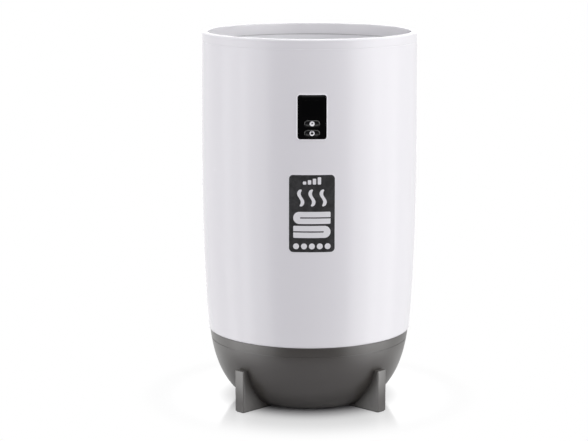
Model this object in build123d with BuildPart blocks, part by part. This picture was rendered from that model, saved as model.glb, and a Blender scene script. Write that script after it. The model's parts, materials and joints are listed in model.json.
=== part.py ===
from build123d import *
import os
from math import cos, radians, sin

# Towel warmer bucket: a tall white drum with an open mouth, on a dark grey bowl that stands on four
# upright fins. A heated aluminium bucket hangs inside the drum, the electronics sit in the bowl, and a
# black panel on the front carries two push buttons.
# Millimetres, +Z up. The origin is on the floor under the drum's axis, and the control panel faces -Y.

# ---- driving dimensions: the drum ----
rim_radius = 150.0
total_height = 521.5
rim_seam = 508.5             # the rim ring's lower edge
seam_height = 101.5          # where the drum ends and the bowl begins
drum_wall = 3.0
drum_foot_radius = 142.7
drum_foot_rounding = 1.5
upper_swell = 1.9            # how far the outline's upper control point stands outside the rim
upper_swell_height = 379.0
lower_swell = 9.7            # how far the lower control point stands outside the drum's foot
lower_swell_height = 201.5
mouth_radius = 142.0         # the rim ring's bore, which a lid's plug would drop into
mouth_skirt_height = 506.1   # the bore's lower edge
lip_outer_rounding = 2.5
lip_inner_rounding = 1.5
rim_seam_radius = 150.2
hairline = 0.35              # half the size of the fine groove along the rim seam

# ---- driving dimensions: the bowl and its legs ----
bowl_top = 100.9
bowl_top_radius = 141.3
bowl_belly = (137.4, 68.5)   # the outline's upper control point: radius, height
bowl_turn = (124.1, -3.6)    # the control point that turns the wall into the floor
bowl_floor_radius = 60.0
bowl_bottom = 3.0
bowl_wall = 3.0
groove_height = 87.6
groove_radius = 138.9
groove_width = 0.8
bowl_spigot_outer = 139.4    # the ring that stands up inside the drum's foot
bowl_spigot_inner = 136.9
bowl_spigot_depth = 6.0      # how far it reaches down inside the bowl
bowl_opening_radius = 70.0
seam_gasket_inner = 139.7
seam_gasket_outer = 140.5
leg_outer_radius = 140.1
leg_inner_radius = 82.0
leg_thickness = 16.0
leg_top = 59.2
leg_rounding = 1.2
leg_fit = 0.05
leg_directions = {"front_right": -45, "rear_right": 45, "rear_left": 135, "front_left": -135}
pad_height = 1.2
pad_inset = 1.0

# ---- driving dimensions: the heated bucket inside ----
liner_floor = 122.0
liner_floor_radius = 127.0
liner_neck = 485.0
liner_neck_radius = 137.5
liner_mouth_radius = 142.4
liner_wall = 1.0
liner_corner = 15.0
flange_radius = 145.2
flange_top = 504.5
spigot_depth = 7.5           # how far the rim ring's spigot reaches below the flange
flange_gap = 0.2
foil_gap = 0.08
foil_thickness = 0.42
felt_gap = 0.7
felt_thickness = 5.0

# ---- driving dimensions: the control panel ----
panel_width = 39.0
panel_height = 58.9
panel_centre = 418.8
panel_corner = 3.5
panel_proud = 0.35
panel_recess = 1.6           # how deep the panel is let into the drum's wall
panel_gap = 0.15
skirt_width = 33.4           # the panel's hidden skirt, which holds the circuit board
skirt_height = 56.3
skirt_wall = 1.2
button_width = 21.0
button_height = 9.0
button_proud = 1.1
button_travel = 0.7
button_gap = 0.2
timer_height = 410.1
power_height = 397.3
plunger_radius = 1.75
plunger_engagement = 1.1     # how far the plunger stands in its switch at rest
window_centre = 430.5
window_width = 24.0
window_height = 17.0

# ---- driving dimensions: the sticker ----
sticker_width = 63.1
sticker_height = 106.8
sticker_corner = 6.4
sticker_centre = 288.8
sticker_thickness = 0.3

# Distances from the drum's axis of the layers behind the panel, from the front backwards.
patch_start = 130.0
skirt_front = 150.0
button_flange_front = 148.7
button_flange_back = 147.7
switch_front = 146.6
board_front = 143.2
board_back = 141.8
cover_inner = 141.2
cover_back = 140.0
post_places = [(-13.2, 403.7), (13.2, 403.7), (-13.2, 442.5), (13.2, 442.5)]

# Heights of the layers under the heated bucket.
support_bottom = 106.0
support_top = 109.5
heater_bottom = 120.4
heater_radius = 100.0
support_radius = 139.2
support_ring_outer = 107.0
support_ring_inner = 104.0
shield_radius = 76.0
shield_thickness = 0.6
lead_notch = (46.0, 12.0)    # the hole in support and shield for the wires
lead_notch_place = (-12.0, 62.0)
board_bottom = 14.0
board_top = 15.6

part_gap = 0.3               # ordinary clearance between two mouldings
thread_gap = 0.05            # between a screw and its hole

lug_radius = 132.5           # where the drum's screw lugs stand
lug_size = 4.5
lug_height = 12.0
post_radius = 84.0           # where the bowl's long screw posts stand
post_angle = 15.0
post_size = 6.0
tunnel_radius = 4.2
tunnel_top = 60.0
long_screw_radius = 1.9
short_screw_radius = 1.5
cover_radius = 77.7
cover_screw_radius = 73.9
cover_thickness = 1.8
leg_screw_heights = {50.0: 118.0, 36.0: 112.0}   # height, and the distance of the screw's head from the axis
gland_height = 60.0
gland_seat = 137.0
gland_bore = 3.7
gland_inner_end = 112.0
gland_body_radius = 6.0
gland_head_radius = 8.5
gland_head_length = 8.0
gland_pad_radius = 11.0
lead_row = 62.0              # the wires under the heated bucket hang in one row behind the axis
lead_turn = 24.0
block_back = 38.0
board_width = 100.0
board_depth = 76.0
connector_height = 400.0     # where the cable leaves the panel's circuit board
cover_screw_size = 1.3
cover_screw_start = 60.0

os.makedirs("parts", exist_ok=True)


# ---- outlines and small forms that several pieces share ----
def drum_outline(inset):
    """The control points of the drum's outline, from the rim down, moved in by inset."""
    return [
        (rim_radius - inset, total_height),
        (rim_radius + upper_swell - inset, upper_swell_height),
        (drum_foot_radius + lower_swell - inset, lower_swell_height),
        (drum_foot_radius - inset, seam_height),
    ]


def drum_section(inner_inset, outer_inset):
    """Half a section of the drum's wall between two insets of its outline."""
    with BuildSketch(Plane.XZ) as section:
        with BuildLine():
            outer = Bezier(*drum_outline(outer_inset))
            inner = Bezier(*drum_outline(inner_inset))
            Line(outer @ 0, inner @ 0)
            Line(outer @ 1, inner @ 1)
        make_face()
    return section.sketch


def rim_hairline():
    """A small diamond on the rim seam, which turns into the fine groove between the ring and the drum."""
    with BuildSketch(Plane.XZ) as diamond:
        with Locations((rim_seam_radius, rim_seam)):
            RegularPolygon(hairline, 4)
    return diamond.sketch


def bowl_section(grow):
    """Half a section of the bowl as a full solid, moved out by grow: a curved wall down to a flat bottom."""
    top = bowl_top if grow >= 0 else bowl_top + 1
    floor = bowl_turn[1] - grow
    with BuildSketch(Plane.XZ) as section:
        with BuildLine():
            wall = Bezier(
                (bowl_top_radius + grow, top),
                (bowl_belly[0] + grow, bowl_belly[1]),
                (bowl_turn[0] + 0.8 * grow, floor),
                (bowl_floor_radius, floor),
            )
            Polyline(wall @ 1, (0, floor), (0, top), wall @ 0)
        make_face()
        with Locations((0, bowl_bottom - grow)):
            Rectangle(4 * rim_radius, 50, align=(Align.CENTER, Align.MAX), mode=Mode.SUBTRACT)
    return section.sketch


def liner_section(grow):
    """Half a section of the heated bucket as a full solid, moved out by grow."""
    foot = liner_floor - grow
    with BuildSketch(Plane.XZ) as section:
        with BuildLine():
            wall = FilletPolyline(
                (0, foot),
                (liner_floor_radius + grow, foot),
                (liner_neck_radius + grow, liner_neck),
                (liner_mouth_radius + grow, liner_neck + 12),
                (liner_mouth_radius + grow, flange_top),
                radius=[liner_corner + grow, 20, 12],
            )
            Polyline(wall @ 1, (0, flange_top), wall @ 0)
        make_face()
    return section.sketch


def liner_radius(height):
    """The inner radius of the heated bucket's slanted wall."""
    slope = (liner_neck_radius - liner_floor_radius) / (liner_neck - liner_floor)
    return liner_floor_radius + slope * (height - liner_floor)


def sleeve_section(bottom, top, inner_gap, outer_gap):
    """Half a section of a sleeve round the heated bucket, between two distances from its inner wall."""
    with BuildSketch(Plane.XZ) as section:
        with BuildLine():
            Polyline(
                (liner_radius(bottom) + inner_gap, bottom),
                (liner_radius(bottom) + outer_gap, bottom),
                (liner_radius(top) + outer_gap, top),
                (liner_radius(top) + inner_gap, top),
                close=True,
            )
        make_face()
    return section.sketch


def rounded_outline(width, height, corner, centre):
    """An upright rounded rectangle that faces the front."""
    with BuildSketch(Plane.XZ.offset(patch_start)) as outline:
        with Locations((0, centre)):
            RectangleRounded(width, height, corner)
    return outline.sketch


def slot_outline(width, height, centre):
    """A level slot with round ends that faces the front."""
    with BuildSketch(Plane.XZ.offset(patch_start)) as outline:
        with Locations((0, centre)):
            SlotOverall(width, height)
    return outline.sketch


def front_patch(outline, inner_inset, outer_inset):
    """The outline as a plate that is bent to the drum: it fills the space between two insets of its wall."""
    with BuildPart() as patch:
        extrude(outline, amount=30)
        revolve(drum_section(inner_inset, outer_inset), axis=Axis.Z, mode=Mode.INTERSECT)
    return patch.part


def radial_plane(angle, distance, height, facing=1):
    """An upright plane at this distance from the axis, facing outwards (1) or inwards (-1)."""
    across = (cos(radians(angle)), sin(radians(angle)))
    origin = (distance * across[0], distance * across[1], height)
    outward = (facing * across[0], facing * across[1], 0)
    return Plane(origin=origin, x_dir=(-across[1], across[0], 0), z_dir=outward)


def fin_plane(angle):
    """The upright plane through the axis in this direction, with x as the distance from the axis."""
    across = (cos(radians(angle)), sin(radians(angle)))
    return Plane(origin=(0, 0, 0), x_dir=(across[0], across[1], 0), z_dir=(across[1], -across[0], 0))


def screw(plane, shank_radius, shank_length, head_radius, head_height):
    """One pan-head screw: its head stands on the plane, its shank goes in behind it."""
    with BuildPart() as one:
        with BuildSketch(plane):
            Circle(head_radius)
        extrude(amount=head_height)
        with BuildSketch(plane):
            Circle(shank_radius)
        extrude(amount=-shank_length)
        with BuildSketch(plane.offset(head_height)):
            RegularPolygon(0.5 * head_radius, 6)
        extrude(amount=-0.6 * head_height, mode=Mode.SUBTRACT)
    return one.part


def lead(lane, top, radius):
    """One wire: straight down in its lane, then round a bend and forward into the terminal block."""
    with BuildPart() as one:
        with BuildLine(Plane.YZ.offset(lane)) as route:
            FilletPolyline((lead_row, top), (lead_row, lead_turn), (block_back, lead_turn), radius=12)
        with BuildSketch(Plane.XY.offset(top)):
            with Locations((lane, lead_row)):
                Circle(radius)
        sweep(path=route.line)
    return one.part


# ---- the drum ----
with BuildPart() as outer_shell:
    revolve(drum_section(drum_wall, 0), axis=Axis.Z)
    split(bisect_by=Plane.XY.offset(rim_seam), keep=Keep.BOTTOM)
    rings = outer_shell.edges().filter_by(GeomType.CIRCLE)
    foot_edge = rings.group_by(Axis.Z)[0].sort_by(SortBy.RADIUS)[-1]
    fillet(foot_edge, drum_foot_rounding)
    revolve(rim_hairline(), axis=Axis.Z, mode=Mode.SUBTRACT)
    # lugs for the screws that hold the support plate
    with BuildSketch(Plane.XY.offset(support_top)):
        with PolarLocations(lug_radius, 4, start_angle=45):
            Circle(lug_size)
        with PolarLocations(lug_radius + lug_size, 4, start_angle=45):
            Rectangle(2 * lug_size, 7)
    extrude(amount=lug_height)
    with BuildSketch(Plane.XY.offset(support_top)):
        with PolarLocations(lug_radius, 4, start_angle=45):
            Circle(short_screw_radius + thread_gap)
    extrude(amount=lug_height - 2, mode=Mode.SUBTRACT)
    # the seat that the panel is let into, and the window that its skirt goes through
    seat = rounded_outline(
        panel_width + 2 * panel_gap, panel_height + 2 * panel_gap, panel_corner + panel_gap, panel_centre
    )
    add(front_patch(seat, panel_recess, -3), mode=Mode.SUBTRACT)
    with BuildSketch(Plane.XZ.offset(patch_start)):
        with Locations((0, panel_centre)):
            Rectangle(skirt_width + 2 * button_gap, skirt_height + 2 * button_gap)
    extrude(amount=30, mode=Mode.SUBTRACT)

with BuildPart() as rim_ring:
    revolve(drum_section(6, 0), axis=Axis.Z)
    split(bisect_by=Plane.XY.offset(rim_seam), keep=Keep.TOP)
    # the collar round the bore, and the spigot that snaps into the drum
    with BuildSketch(Plane.XY.offset(mouth_skirt_height)):
        Circle(flange_radius + flange_gap)
    extrude(amount=total_height - mouth_skirt_height)
    with BuildSketch(Plane.XY.offset(flange_top - spigot_depth)):
        Circle(rim_radius - drum_wall)
        Circle(flange_radius + flange_gap, mode=Mode.SUBTRACT)
    extrude(amount=rim_seam - flange_top + spigot_depth)
    with BuildSketch(Plane.XY.offset(flange_top - spigot_depth)):
        Circle(mouth_radius)
    extrude(amount=50, mode=Mode.SUBTRACT)
    lip_edges = rim_ring.edges().filter_by(GeomType.CIRCLE).group_by(Axis.Z)[-1].sort_by(SortBy.RADIUS)
    fillet(lip_edges[-1], lip_outer_rounding)
    lip_edges = rim_ring.edges().filter_by(GeomType.CIRCLE).group_by(Axis.Z)[-1].sort_by(SortBy.RADIUS)
    fillet(lip_edges[0], lip_inner_rounding)
    revolve(rim_hairline(), axis=Axis.Z, mode=Mode.SUBTRACT)

# ---- the heated bucket and what is wrapped round it ----
with BuildPart() as rim_gasket:
    with BuildSketch(Plane.XY.offset(flange_top)):
        Circle(flange_radius)
        Circle(mouth_radius + 0.6, mode=Mode.SUBTRACT)
    extrude(amount=mouth_skirt_height - flange_top)

with BuildPart() as liner:
    revolve(liner_section(liner_wall), axis=Axis.Z)
    with BuildSketch(Plane.XY.offset(flange_top - liner_wall)):
        Circle(flange_radius)
    extrude(amount=liner_wall)
    revolve(liner_section(0), axis=Axis.Z, mode=Mode.SUBTRACT)

with BuildPart() as heating_foil:
    foil_inner = liner_wall + foil_gap
    revolve(sleeve_section(150, 365, foil_inner, foil_inner + foil_thickness), axis=Axis.Z)

with BuildPart() as insulation_sleeve:
    felt_inner = liner_wall + felt_gap
    revolve(sleeve_section(126, 478, felt_inner, felt_inner + felt_thickness), axis=Axis.Z)
    # cut away behind the panel and where its cable turns down
    with BuildSketch(Plane.XZ.offset(patch_start)):
        with Locations((0, 368)):
            Rectangle(46, 85, align=(Align.CENTER, Align.MIN))
    extrude(amount=30, mode=Mode.SUBTRACT)

with BuildPart() as base_heater:
    with BuildSketch(Plane.XY.offset(heater_bottom)):
        Circle(heater_radius)
        with Locations((-8, lead_row)):
            Circle(3, mode=Mode.SUBTRACT)
    extrude(amount=liner_floor - liner_wall - heater_bottom)

# ---- the plate that carries the heated bucket and joins the drum to the bowl ----
with BuildPart() as liner_support:
    with BuildSketch(Plane.XY.offset(support_bottom)):
        Circle(support_radius)
    extrude(amount=support_top - support_bottom)
    with BuildSketch(Plane.XY.offset(support_top)):
        Circle(support_ring_outer)
        Circle(support_ring_inner, mode=Mode.SUBTRACT)
    extrude(amount=liner_floor - liner_wall - support_top)
    with BuildSketch(Plane.XY.offset(support_top)):
        with PolarLocations(post_radius, 4, start_angle=post_angle):
            Circle(post_size - 0.5)
    extrude(amount=9.5)
    with BuildSketch(Plane.XY.offset(support_bottom)):
        with PolarLocations(post_radius, 4, start_angle=post_angle):
            Circle(long_screw_radius + thread_gap)
    extrude(amount=12, mode=Mode.SUBTRACT)
    with BuildSketch(Plane.XY.offset(support_bottom)):
        with PolarLocations(lug_radius, 4, start_angle=45):
            Circle(short_screw_radius + part_gap)
        with Locations(lead_notch_place):
            Rectangle(*lead_notch)
        with Locations((0, -135.5)):
            Rectangle(14, 5)
    extrude(amount=support_top - support_bottom, mode=Mode.SUBTRACT)

with BuildPart() as heat_shield:
    with BuildSketch(Plane.XY.offset(support_top)):
        Circle(shield_radius)
        with Locations(lead_notch_place):
            Rectangle(*lead_notch, mode=Mode.SUBTRACT)
    extrude(amount=shield_thickness)

with BuildPart() as shell_screws:
    for turn in range(4):
        place = radial_plane(45 + 90 * turn, lug_radius, support_bottom).origin
        add(screw(Plane(origin=place, z_dir=(0, 0, -1)), short_screw_radius, 12, 3.2, 2.2))

with BuildPart() as bowl_screws:
    for turn in range(4):
        place = radial_plane(post_angle + 90 * turn, post_radius, tunnel_top).origin
        add(screw(Plane(origin=place, z_dir=(0, 0, -1)), long_screw_radius, 57, 3.6, 2.6))

# ---- temperature control under the heated bucket ----
with BuildPart() as thermostat:
    with BuildSketch(Plane.XY.offset(heater_bottom - 3)):
        with Locations((-30, lead_row)):
            Circle(8.2)
    extrude(amount=3)
    with BuildSketch(Plane.XY.offset(heater_bottom - 9.5)):
        with Locations((-30, lead_row)):
            Circle(7)
    extrude(amount=6.5)

with BuildPart() as thermal_fuse:
    with BuildSketch(Plane.XZ.offset(-52)):
        with Locations((-16, 118)):
            Circle(2.2)
    extrude(amount=-12)

with BuildPart() as temperature_sensor:
    with BuildSketch(Plane.XY.offset(116.2)):
        with Locations((3, lead_row - 2)):
            SlotOverall(11, 8)
    extrude(amount=4)

with BuildPart() as sensor_strap:
    with BuildSketch(Plane.XZ.offset(-55)):
        with Locations((-5, heater_bottom)):
            Rectangle(34, 5.4, align=(Align.CENTER, Align.MAX))
            Rectangle(32.8, 4.8, align=(Align.CENTER, Align.MAX), mode=Mode.SUBTRACT)
    extrude(amount=1.5, both=True)

with BuildPart() as heater_leads:
    add(lead(-30, heater_bottom - 9.5, 1.4))
    add(lead(-16, 115.8, 1.4))

with BuildPart() as ground_lead:
    add(lead(-8, liner_floor - liner_wall, 1.4))

with BuildPart() as sensor_leads:
    add(lead(1, 116.2, 1.0))
    add(lead(5, 116.2, 1.0))

# ---- the bowl ----
with BuildPart() as leg_bosses:
    for angle in leg_directions.values():
        for height, head_distance in leg_screw_heights.items():
            with BuildSketch(radial_plane(angle, head_distance, height)):
                Circle(5)
            extrude(amount=25)
    revolve(bowl_section(0), axis=Axis.Z, mode=Mode.INTERSECT)

with BuildPart() as base_bowl:
    revolve(bowl_section(0), axis=Axis.Z)
    fillet(base_bowl.edges().filter_by(GeomType.CIRCLE).sort_by(Axis.Z)[-1], 0.5)
    # a flat pad at the rear for the cord gland
    with BuildSketch(Plane.XZ.offset(-gland_seat)):
        with Locations((0, gland_height)):
            Circle(gland_pad_radius)
    extrude(amount=20)
    revolve(bowl_section(-bowl_wall), axis=Axis.Z, mode=Mode.SUBTRACT)
    # the spigot that stands inside the drum's foot
    with BuildSketch(Plane.XY.offset(bowl_top - bowl_spigot_depth)):
        Circle(bowl_spigot_outer)
        Circle(bowl_spigot_inner, mode=Mode.SUBTRACT)
    extrude(amount=support_bottom - part_gap - bowl_top + bowl_spigot_depth)
    # posts for the long screws, bosses for the legs, the cover and the gland
    with BuildSketch(Plane.XY.offset(bowl_bottom)):
        with PolarLocations(post_radius, 4, start_angle=post_angle):
            Circle(post_size)
    extrude(amount=support_bottom - bowl_bottom)
    with BuildSketch(Plane.XY.offset(bowl_bottom + cover_thickness)):
        with PolarLocations(cover_screw_radius, 4, start_angle=cover_screw_start):
            Circle(3.4)
    extrude(amount=9)
    with BuildSketch(Plane.XZ.offset(-120)):
        with Locations((0, gland_height)):
            Circle(gland_pad_radius)
    extrude(amount=-12)
    add(leg_bosses.part)
    # the bottom opening and the rebate for its cover
    with BuildSketch(Plane.XY.offset(bowl_bottom)):
        Circle(cover_radius + part_gap)
    extrude(amount=cover_thickness, mode=Mode.SUBTRACT)
    with BuildSketch(Plane.XY.offset(bowl_bottom)):
        Circle(bowl_opening_radius)
    extrude(amount=bowl_wall + 2, mode=Mode.SUBTRACT)
    with BuildSketch(Plane.XY.offset(bowl_bottom + cover_thickness)):
        with PolarLocations(cover_screw_radius, 4, start_angle=cover_screw_start):
            Circle(cover_screw_size + thread_gap)
    extrude(amount=8, mode=Mode.SUBTRACT)
    # screw tunnels up the posts
    with BuildSketch(Plane.XY.offset(bowl_bottom)):
        with PolarLocations(post_radius, 4, start_angle=post_angle):
            Circle(tunnel_radius)
    extrude(amount=tunnel_top - bowl_bottom, mode=Mode.SUBTRACT)
    with BuildSketch(Plane.XY.offset(tunnel_top)):
        with PolarLocations(post_radius, 4, start_angle=post_angle):
            Circle(long_screw_radius + part_gap)
    extrude(amount=support_bottom - tunnel_top, mode=Mode.SUBTRACT)
    # holes for the leg screws and the gland
    for angle in leg_directions.values():
        for height, head_distance in leg_screw_heights.items():
            with BuildSketch(radial_plane(angle, head_distance, height)):
                Circle(long_screw_radius + 0.2)
            extrude(amount=25, mode=Mode.SUBTRACT)
    with BuildSketch(Plane.XZ.offset(-gland_seat)):
        with Locations((0, gland_height)):
            Circle(gland_body_radius + 0.1)
    extrude(amount=20, mode=Mode.SUBTRACT)
    # the fine groove below the seam
    with BuildSketch(Plane.XY.offset(groove_height)):
        Circle(rim_radius)
        Circle(groove_radius, mode=Mode.SUBTRACT)
    extrude(amount=groove_width, mode=Mode.SUBTRACT)

with BuildPart() as seam_gasket:
    with BuildSketch(Plane.XY.offset(bowl_top)):
        Circle(seam_gasket_outer)
        Circle(seam_gasket_inner, mode=Mode.SUBTRACT)
    extrude(amount=seam_height - bowl_top)

with BuildPart() as bottom_cover:
    with BuildSketch(Plane.XY.offset(bowl_bottom)):
        Circle(cover_radius)
        with PolarLocations(cover_screw_radius, 4, start_angle=cover_screw_start):
            Circle(cover_screw_size + part_gap, mode=Mode.SUBTRACT)
        with GridLocations(34, 7, 3, 5):
            SlotOverall(26, 3, mode=Mode.SUBTRACT)
    extrude(amount=cover_thickness)
    with BuildSketch(Plane.XY.offset(bowl_bottom + cover_thickness)):
        Circle(bowl_opening_radius - 0.6)
        Circle(bowl_opening_radius - 2.6, mode=Mode.SUBTRACT)
    extrude(amount=4)

with BuildPart() as bottom_cover_screws:
    for turn in range(4):
        place = radial_plane(cover_screw_start + 90 * turn, cover_screw_radius, bowl_bottom).origin
        add(screw(Plane(origin=place, z_dir=(0, 0, -1)), cover_screw_size, 9, 2.8, 1.2))

with BuildPart() as leg_screws:
    for angle in leg_directions.values():
        for height, head_distance in leg_screw_heights.items():
            add(screw(radial_plane(angle, head_distance, height, facing=-1), long_screw_radius, 19, 3.2, 2))


# ---- the legs and their rubber pads ----
def leg(angle):
    """One upright fin whose inner edge follows the bowl."""
    with BuildPart() as fin:
        with BuildSketch(fin_plane(angle)):
            with Locations((leg_inner_radius, pad_height)):
                Rectangle(
                    leg_outer_radius - leg_inner_radius, leg_top - pad_height, align=(Align.MIN, Align.MIN)
                )
        extrude(amount=leg_thickness / 2, both=True)
        outward = Axis((0, 0, 0), (cos(radians(angle)), sin(radians(angle)), 0))
        fillet(fin.edges().filter_by(Axis.Z).group_by(outward)[-1], leg_rounding)
        fillet(fin.faces().sort_by(Axis.Z)[-1].edges().sort_by(outward)[1:], leg_rounding)
        revolve(bowl_section(leg_fit), axis=Axis.Z, mode=Mode.SUBTRACT)
        for height, head_distance in leg_screw_heights.items():
            with BuildSketch(radial_plane(angle, head_distance, height)):
                Circle(long_screw_radius + thread_gap)
            extrude(amount=20, mode=Mode.SUBTRACT)
    return fin.part


def foot_pad(angle):
    """The thin rubber strip under one leg, set in from its edges."""
    with BuildPart() as pad:
        with BuildSketch(Plane.XY.rotated((0, 0, angle))):
            with Locations(((leg_inner_radius + leg_outer_radius) / 2, 0)):
                RectangleRounded(
                    leg_outer_radius - leg_inner_radius - 2 * pad_inset, leg_thickness - 2 * pad_inset, 2
                )
        extrude(amount=pad_height)
    return pad.part


# ---- the cord gland ----
with BuildPart() as cord_gland:
    with BuildSketch(Plane.XZ.offset(-gland_inner_end)):
        with Locations((0, gland_height)):
            Circle(gland_body_radius)
    extrude(amount=-(gland_seat - gland_inner_end))
    with BuildSketch(Plane.XZ.offset(-gland_seat)):
        with Locations((0, gland_height)):
            Circle(gland_head_radius)
    extrude(amount=-gland_head_length, taper=12)
    with BuildSketch(Plane.XZ.offset(-gland_inner_end)):
        with Locations((0, gland_height)):
            Circle(gland_bore)
    extrude(amount=-40, mode=Mode.SUBTRACT)

with BuildPart() as gland_nut:
    with BuildSketch(Plane.XZ.offset(-gland_inner_end - 2)):
        with Locations((0, gland_height)):
            RegularPolygon(gland_head_radius + 1, 6)
            Circle(gland_body_radius + thread_gap, mode=Mode.SUBTRACT)
    extrude(amount=-6)

# ---- the control panel ----
with BuildPart() as panel_bezel:
    plate = rounded_outline(panel_width, panel_height, panel_corner, panel_centre)
    add(front_patch(plate, panel_recess, -panel_proud))
    with BuildSketch(Plane.XZ.offset(board_back)):
        with Locations((0, panel_centre)):
            Rectangle(skirt_width, skirt_height)
            Rectangle(skirt_width - 2 * skirt_wall, skirt_height - 2 * skirt_wall, mode=Mode.SUBTRACT)
    extrude(amount=skirt_front - board_back)
    with BuildSketch(Plane.XZ.offset(board_front)):
        with Locations(*post_places):
            Circle(2)
    extrude(amount=skirt_front - board_front)
    with BuildSketch(Plane.XZ.offset(board_front)):
        with Locations(*post_places):
            Circle(0.9 + thread_gap)
    extrude(amount=5, mode=Mode.SUBTRACT)
    # the openings for the two buttons and the window, with a ledge behind the window
    for height in (timer_height, power_height):
        extrude(
            slot_outline(button_width + 2 * button_gap, button_height + 2 * button_gap, height),
            amount=30,
            mode=Mode.SUBTRACT,
        )
    extrude(rounded_outline(window_width, window_height, 1.5, window_centre), amount=30, mode=Mode.SUBTRACT)
    pane_seat = rounded_outline(window_width + 4, window_height + 4, 2.5, window_centre)
    add(front_patch(pane_seat, panel_recess - 0.8, -2), mode=Mode.SUBTRACT)

with BuildPart() as display_window:
    pane = rounded_outline(window_width + 3.8, window_height + 3.8, 2.4, window_centre)
    add(front_patch(pane, panel_recess - 0.8, -panel_proud))


def button(height):
    """One oval push button: a dished cap that stands out of the panel, and a flange behind it."""
    with BuildPart() as cap:
        with BuildSketch(Plane.XZ.offset(button_flange_front)):
            with Locations((0, height)):
                SlotOverall(button_width, button_height)
        extrude(amount=10)
        with BuildSketch(Plane.XZ.offset(button_flange_back)):
            with Locations((0, height)):
                SlotOverall(button_width + 1.4, button_height + 1.2)
        extrude(amount=button_flange_front - button_flange_back)
        revolve(drum_section(8, -button_proud), axis=Axis.Z, mode=Mode.INTERSECT)
        fillet(cap.faces().sort_by(Axis.Y)[0].edges(), 0.4)
        dish = slot_outline(button_width - 2.6, button_height - 2.6, height)
        add(front_patch(dish, 0.3 - button_proud, -3), mode=Mode.SUBTRACT)
    return cap.part


def switch(height):
    """The housing of one push switch, with a round well for its plunger."""
    with BuildPart() as housing:
        with BuildSketch(Plane.XZ.offset(board_front)):
            with Locations((0, height)):
                Rectangle(6, 6)
        extrude(amount=switch_front - board_front)
        with BuildSketch(Plane.XZ.offset(switch_front)):
            with Locations((0, height)):
                Circle(plunger_radius + 0.1)
        extrude(amount=-(plunger_engagement + button_travel + 0.2), mode=Mode.SUBTRACT)
    return housing.part


def plunger(height):
    """The round plunger between one button and its switch."""
    with BuildPart() as pin:
        with BuildSketch(Plane.XZ.offset(button_flange_back)):
            with Locations((0, height)):
                Circle(plunger_radius)
        extrude(amount=switch_front - plunger_engagement - button_flange_back)
    return pin.part


with BuildPart() as panel_board:
    with BuildSketch(Plane.XZ.offset(board_back)):
        with Locations((0, panel_centre)):
            Rectangle(skirt_width - 2 * skirt_wall - 0.8, skirt_height - 2 * skirt_wall - 0.8)
        with Locations(*post_places):
            Circle(1.2, mode=Mode.SUBTRACT)
    extrude(amount=board_front - board_back)

with BuildPart() as display_module:
    with BuildSketch(Plane.XZ.offset(board_front)):
        with Locations((0, window_centre)):
            Rectangle(22, 15)
    extrude(amount=4)

with BuildPart() as panel_connector:
    with BuildSketch(Plane.XZ.offset(board_back)):
        with Locations((0, connector_height)):
            Rectangle(13, 6)
    extrude(amount=138.4 - board_back)

with BuildPart() as panel_back_cover:
    with BuildSketch(Plane.XZ.offset(cover_back)):
        with Locations((0, panel_centre)):
            RectangleRounded(40, 62, 2)
    extrude(amount=10)
    with BuildSketch(Plane.XY.offset(panel_centre)):
        Circle(147.7)
    extrude(amount=40, both=True, mode=Mode.INTERSECT)
    with BuildSketch(Plane.XZ.offset(cover_inner)):
        with Locations((0, panel_centre)):
            RectangleRounded(37, 59, 1)
    extrude(amount=10, mode=Mode.SUBTRACT)
    with BuildSketch(Plane.XZ.offset(cover_back)):
        with Locations(*post_places):
            Circle(1.1)
        with Locations((0, connector_height)):
            Rectangle(13 + 2 * part_gap, 6 + 2 * part_gap)
    extrude(amount=2, mode=Mode.SUBTRACT)

with BuildPart() as panel_screws:
    for across, height in post_places:
        add(screw(Plane(origin=(across, -cover_back, height), z_dir=(0, 1, 0)), 0.9, 7, 1.9, 1.1))

with BuildPart() as ribbon_cable:
    with BuildSketch(Plane.YZ):
        with BuildLine():
            route = FilletPolyline(
                (-139.4, 397), (-139.4, 386.5), (-145.4, 374), (-136.2, 128), (-134, 96), (-124, 66),
                (-34.4, 52), (-34.4, 24.6),
                radius=5,
            )
            offset(route, amount=0.8, side=Side.LEFT)
        make_face()
    extrude(amount=5, both=True)

# ---- the sticker on the drum ----
with BuildPart() as front_label:
    film = rounded_outline(sticker_width, sticker_height, sticker_corner, sticker_centre)
    add(front_patch(film, -0.02, -sticker_thickness))

# ---- the electronics in the bowl ----
corner_places = [(-44, -32), (44, -32), (-44, 32), (44, 32)]

with BuildPart() as board_standoffs:
    with BuildSketch(Plane.XY.offset(bowl_bottom + cover_thickness)):
        with Locations(*corner_places):
            RegularPolygon(3.2, 6)
            Circle(short_screw_radius + thread_gap, mode=Mode.SUBTRACT)
    extrude(amount=board_bottom - bowl_bottom - cover_thickness)

with BuildPart() as control_board:
    with BuildSketch(Plane.XY.offset(board_bottom)):
        Rectangle(board_width, board_depth)
        with Locations(*corner_places):
            Circle(short_screw_radius + 0.1, mode=Mode.SUBTRACT)
    extrude(amount=board_top - board_bottom)

with BuildPart() as board_screws:
    for across, along in corner_places:
        add(screw(Plane(origin=(across, along, board_top)), short_screw_radius, 7, 2.8, 2))

with BuildPart() as relay:
    with BuildSketch(Plane.XY.offset(board_top)):
        with Locations((-28, -14)):
            Rectangle(19, 15.5)
    extrude(amount=15.5)
    fillet(relay.faces().sort_by(Axis.Z)[-1].edges(), 0.8)

with BuildPart() as transformer:
    with BuildSketch(Plane.XY.offset(board_top)):
        with Locations((22, -8)):
            Rectangle(34, 18)
    extrude(amount=28)
    with BuildSketch(Plane.XY.offset(board_top + 5)):
        with Locations((22, -8)):
            RectangleRounded(22, 30, 4)
    extrude(amount=18)

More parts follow.
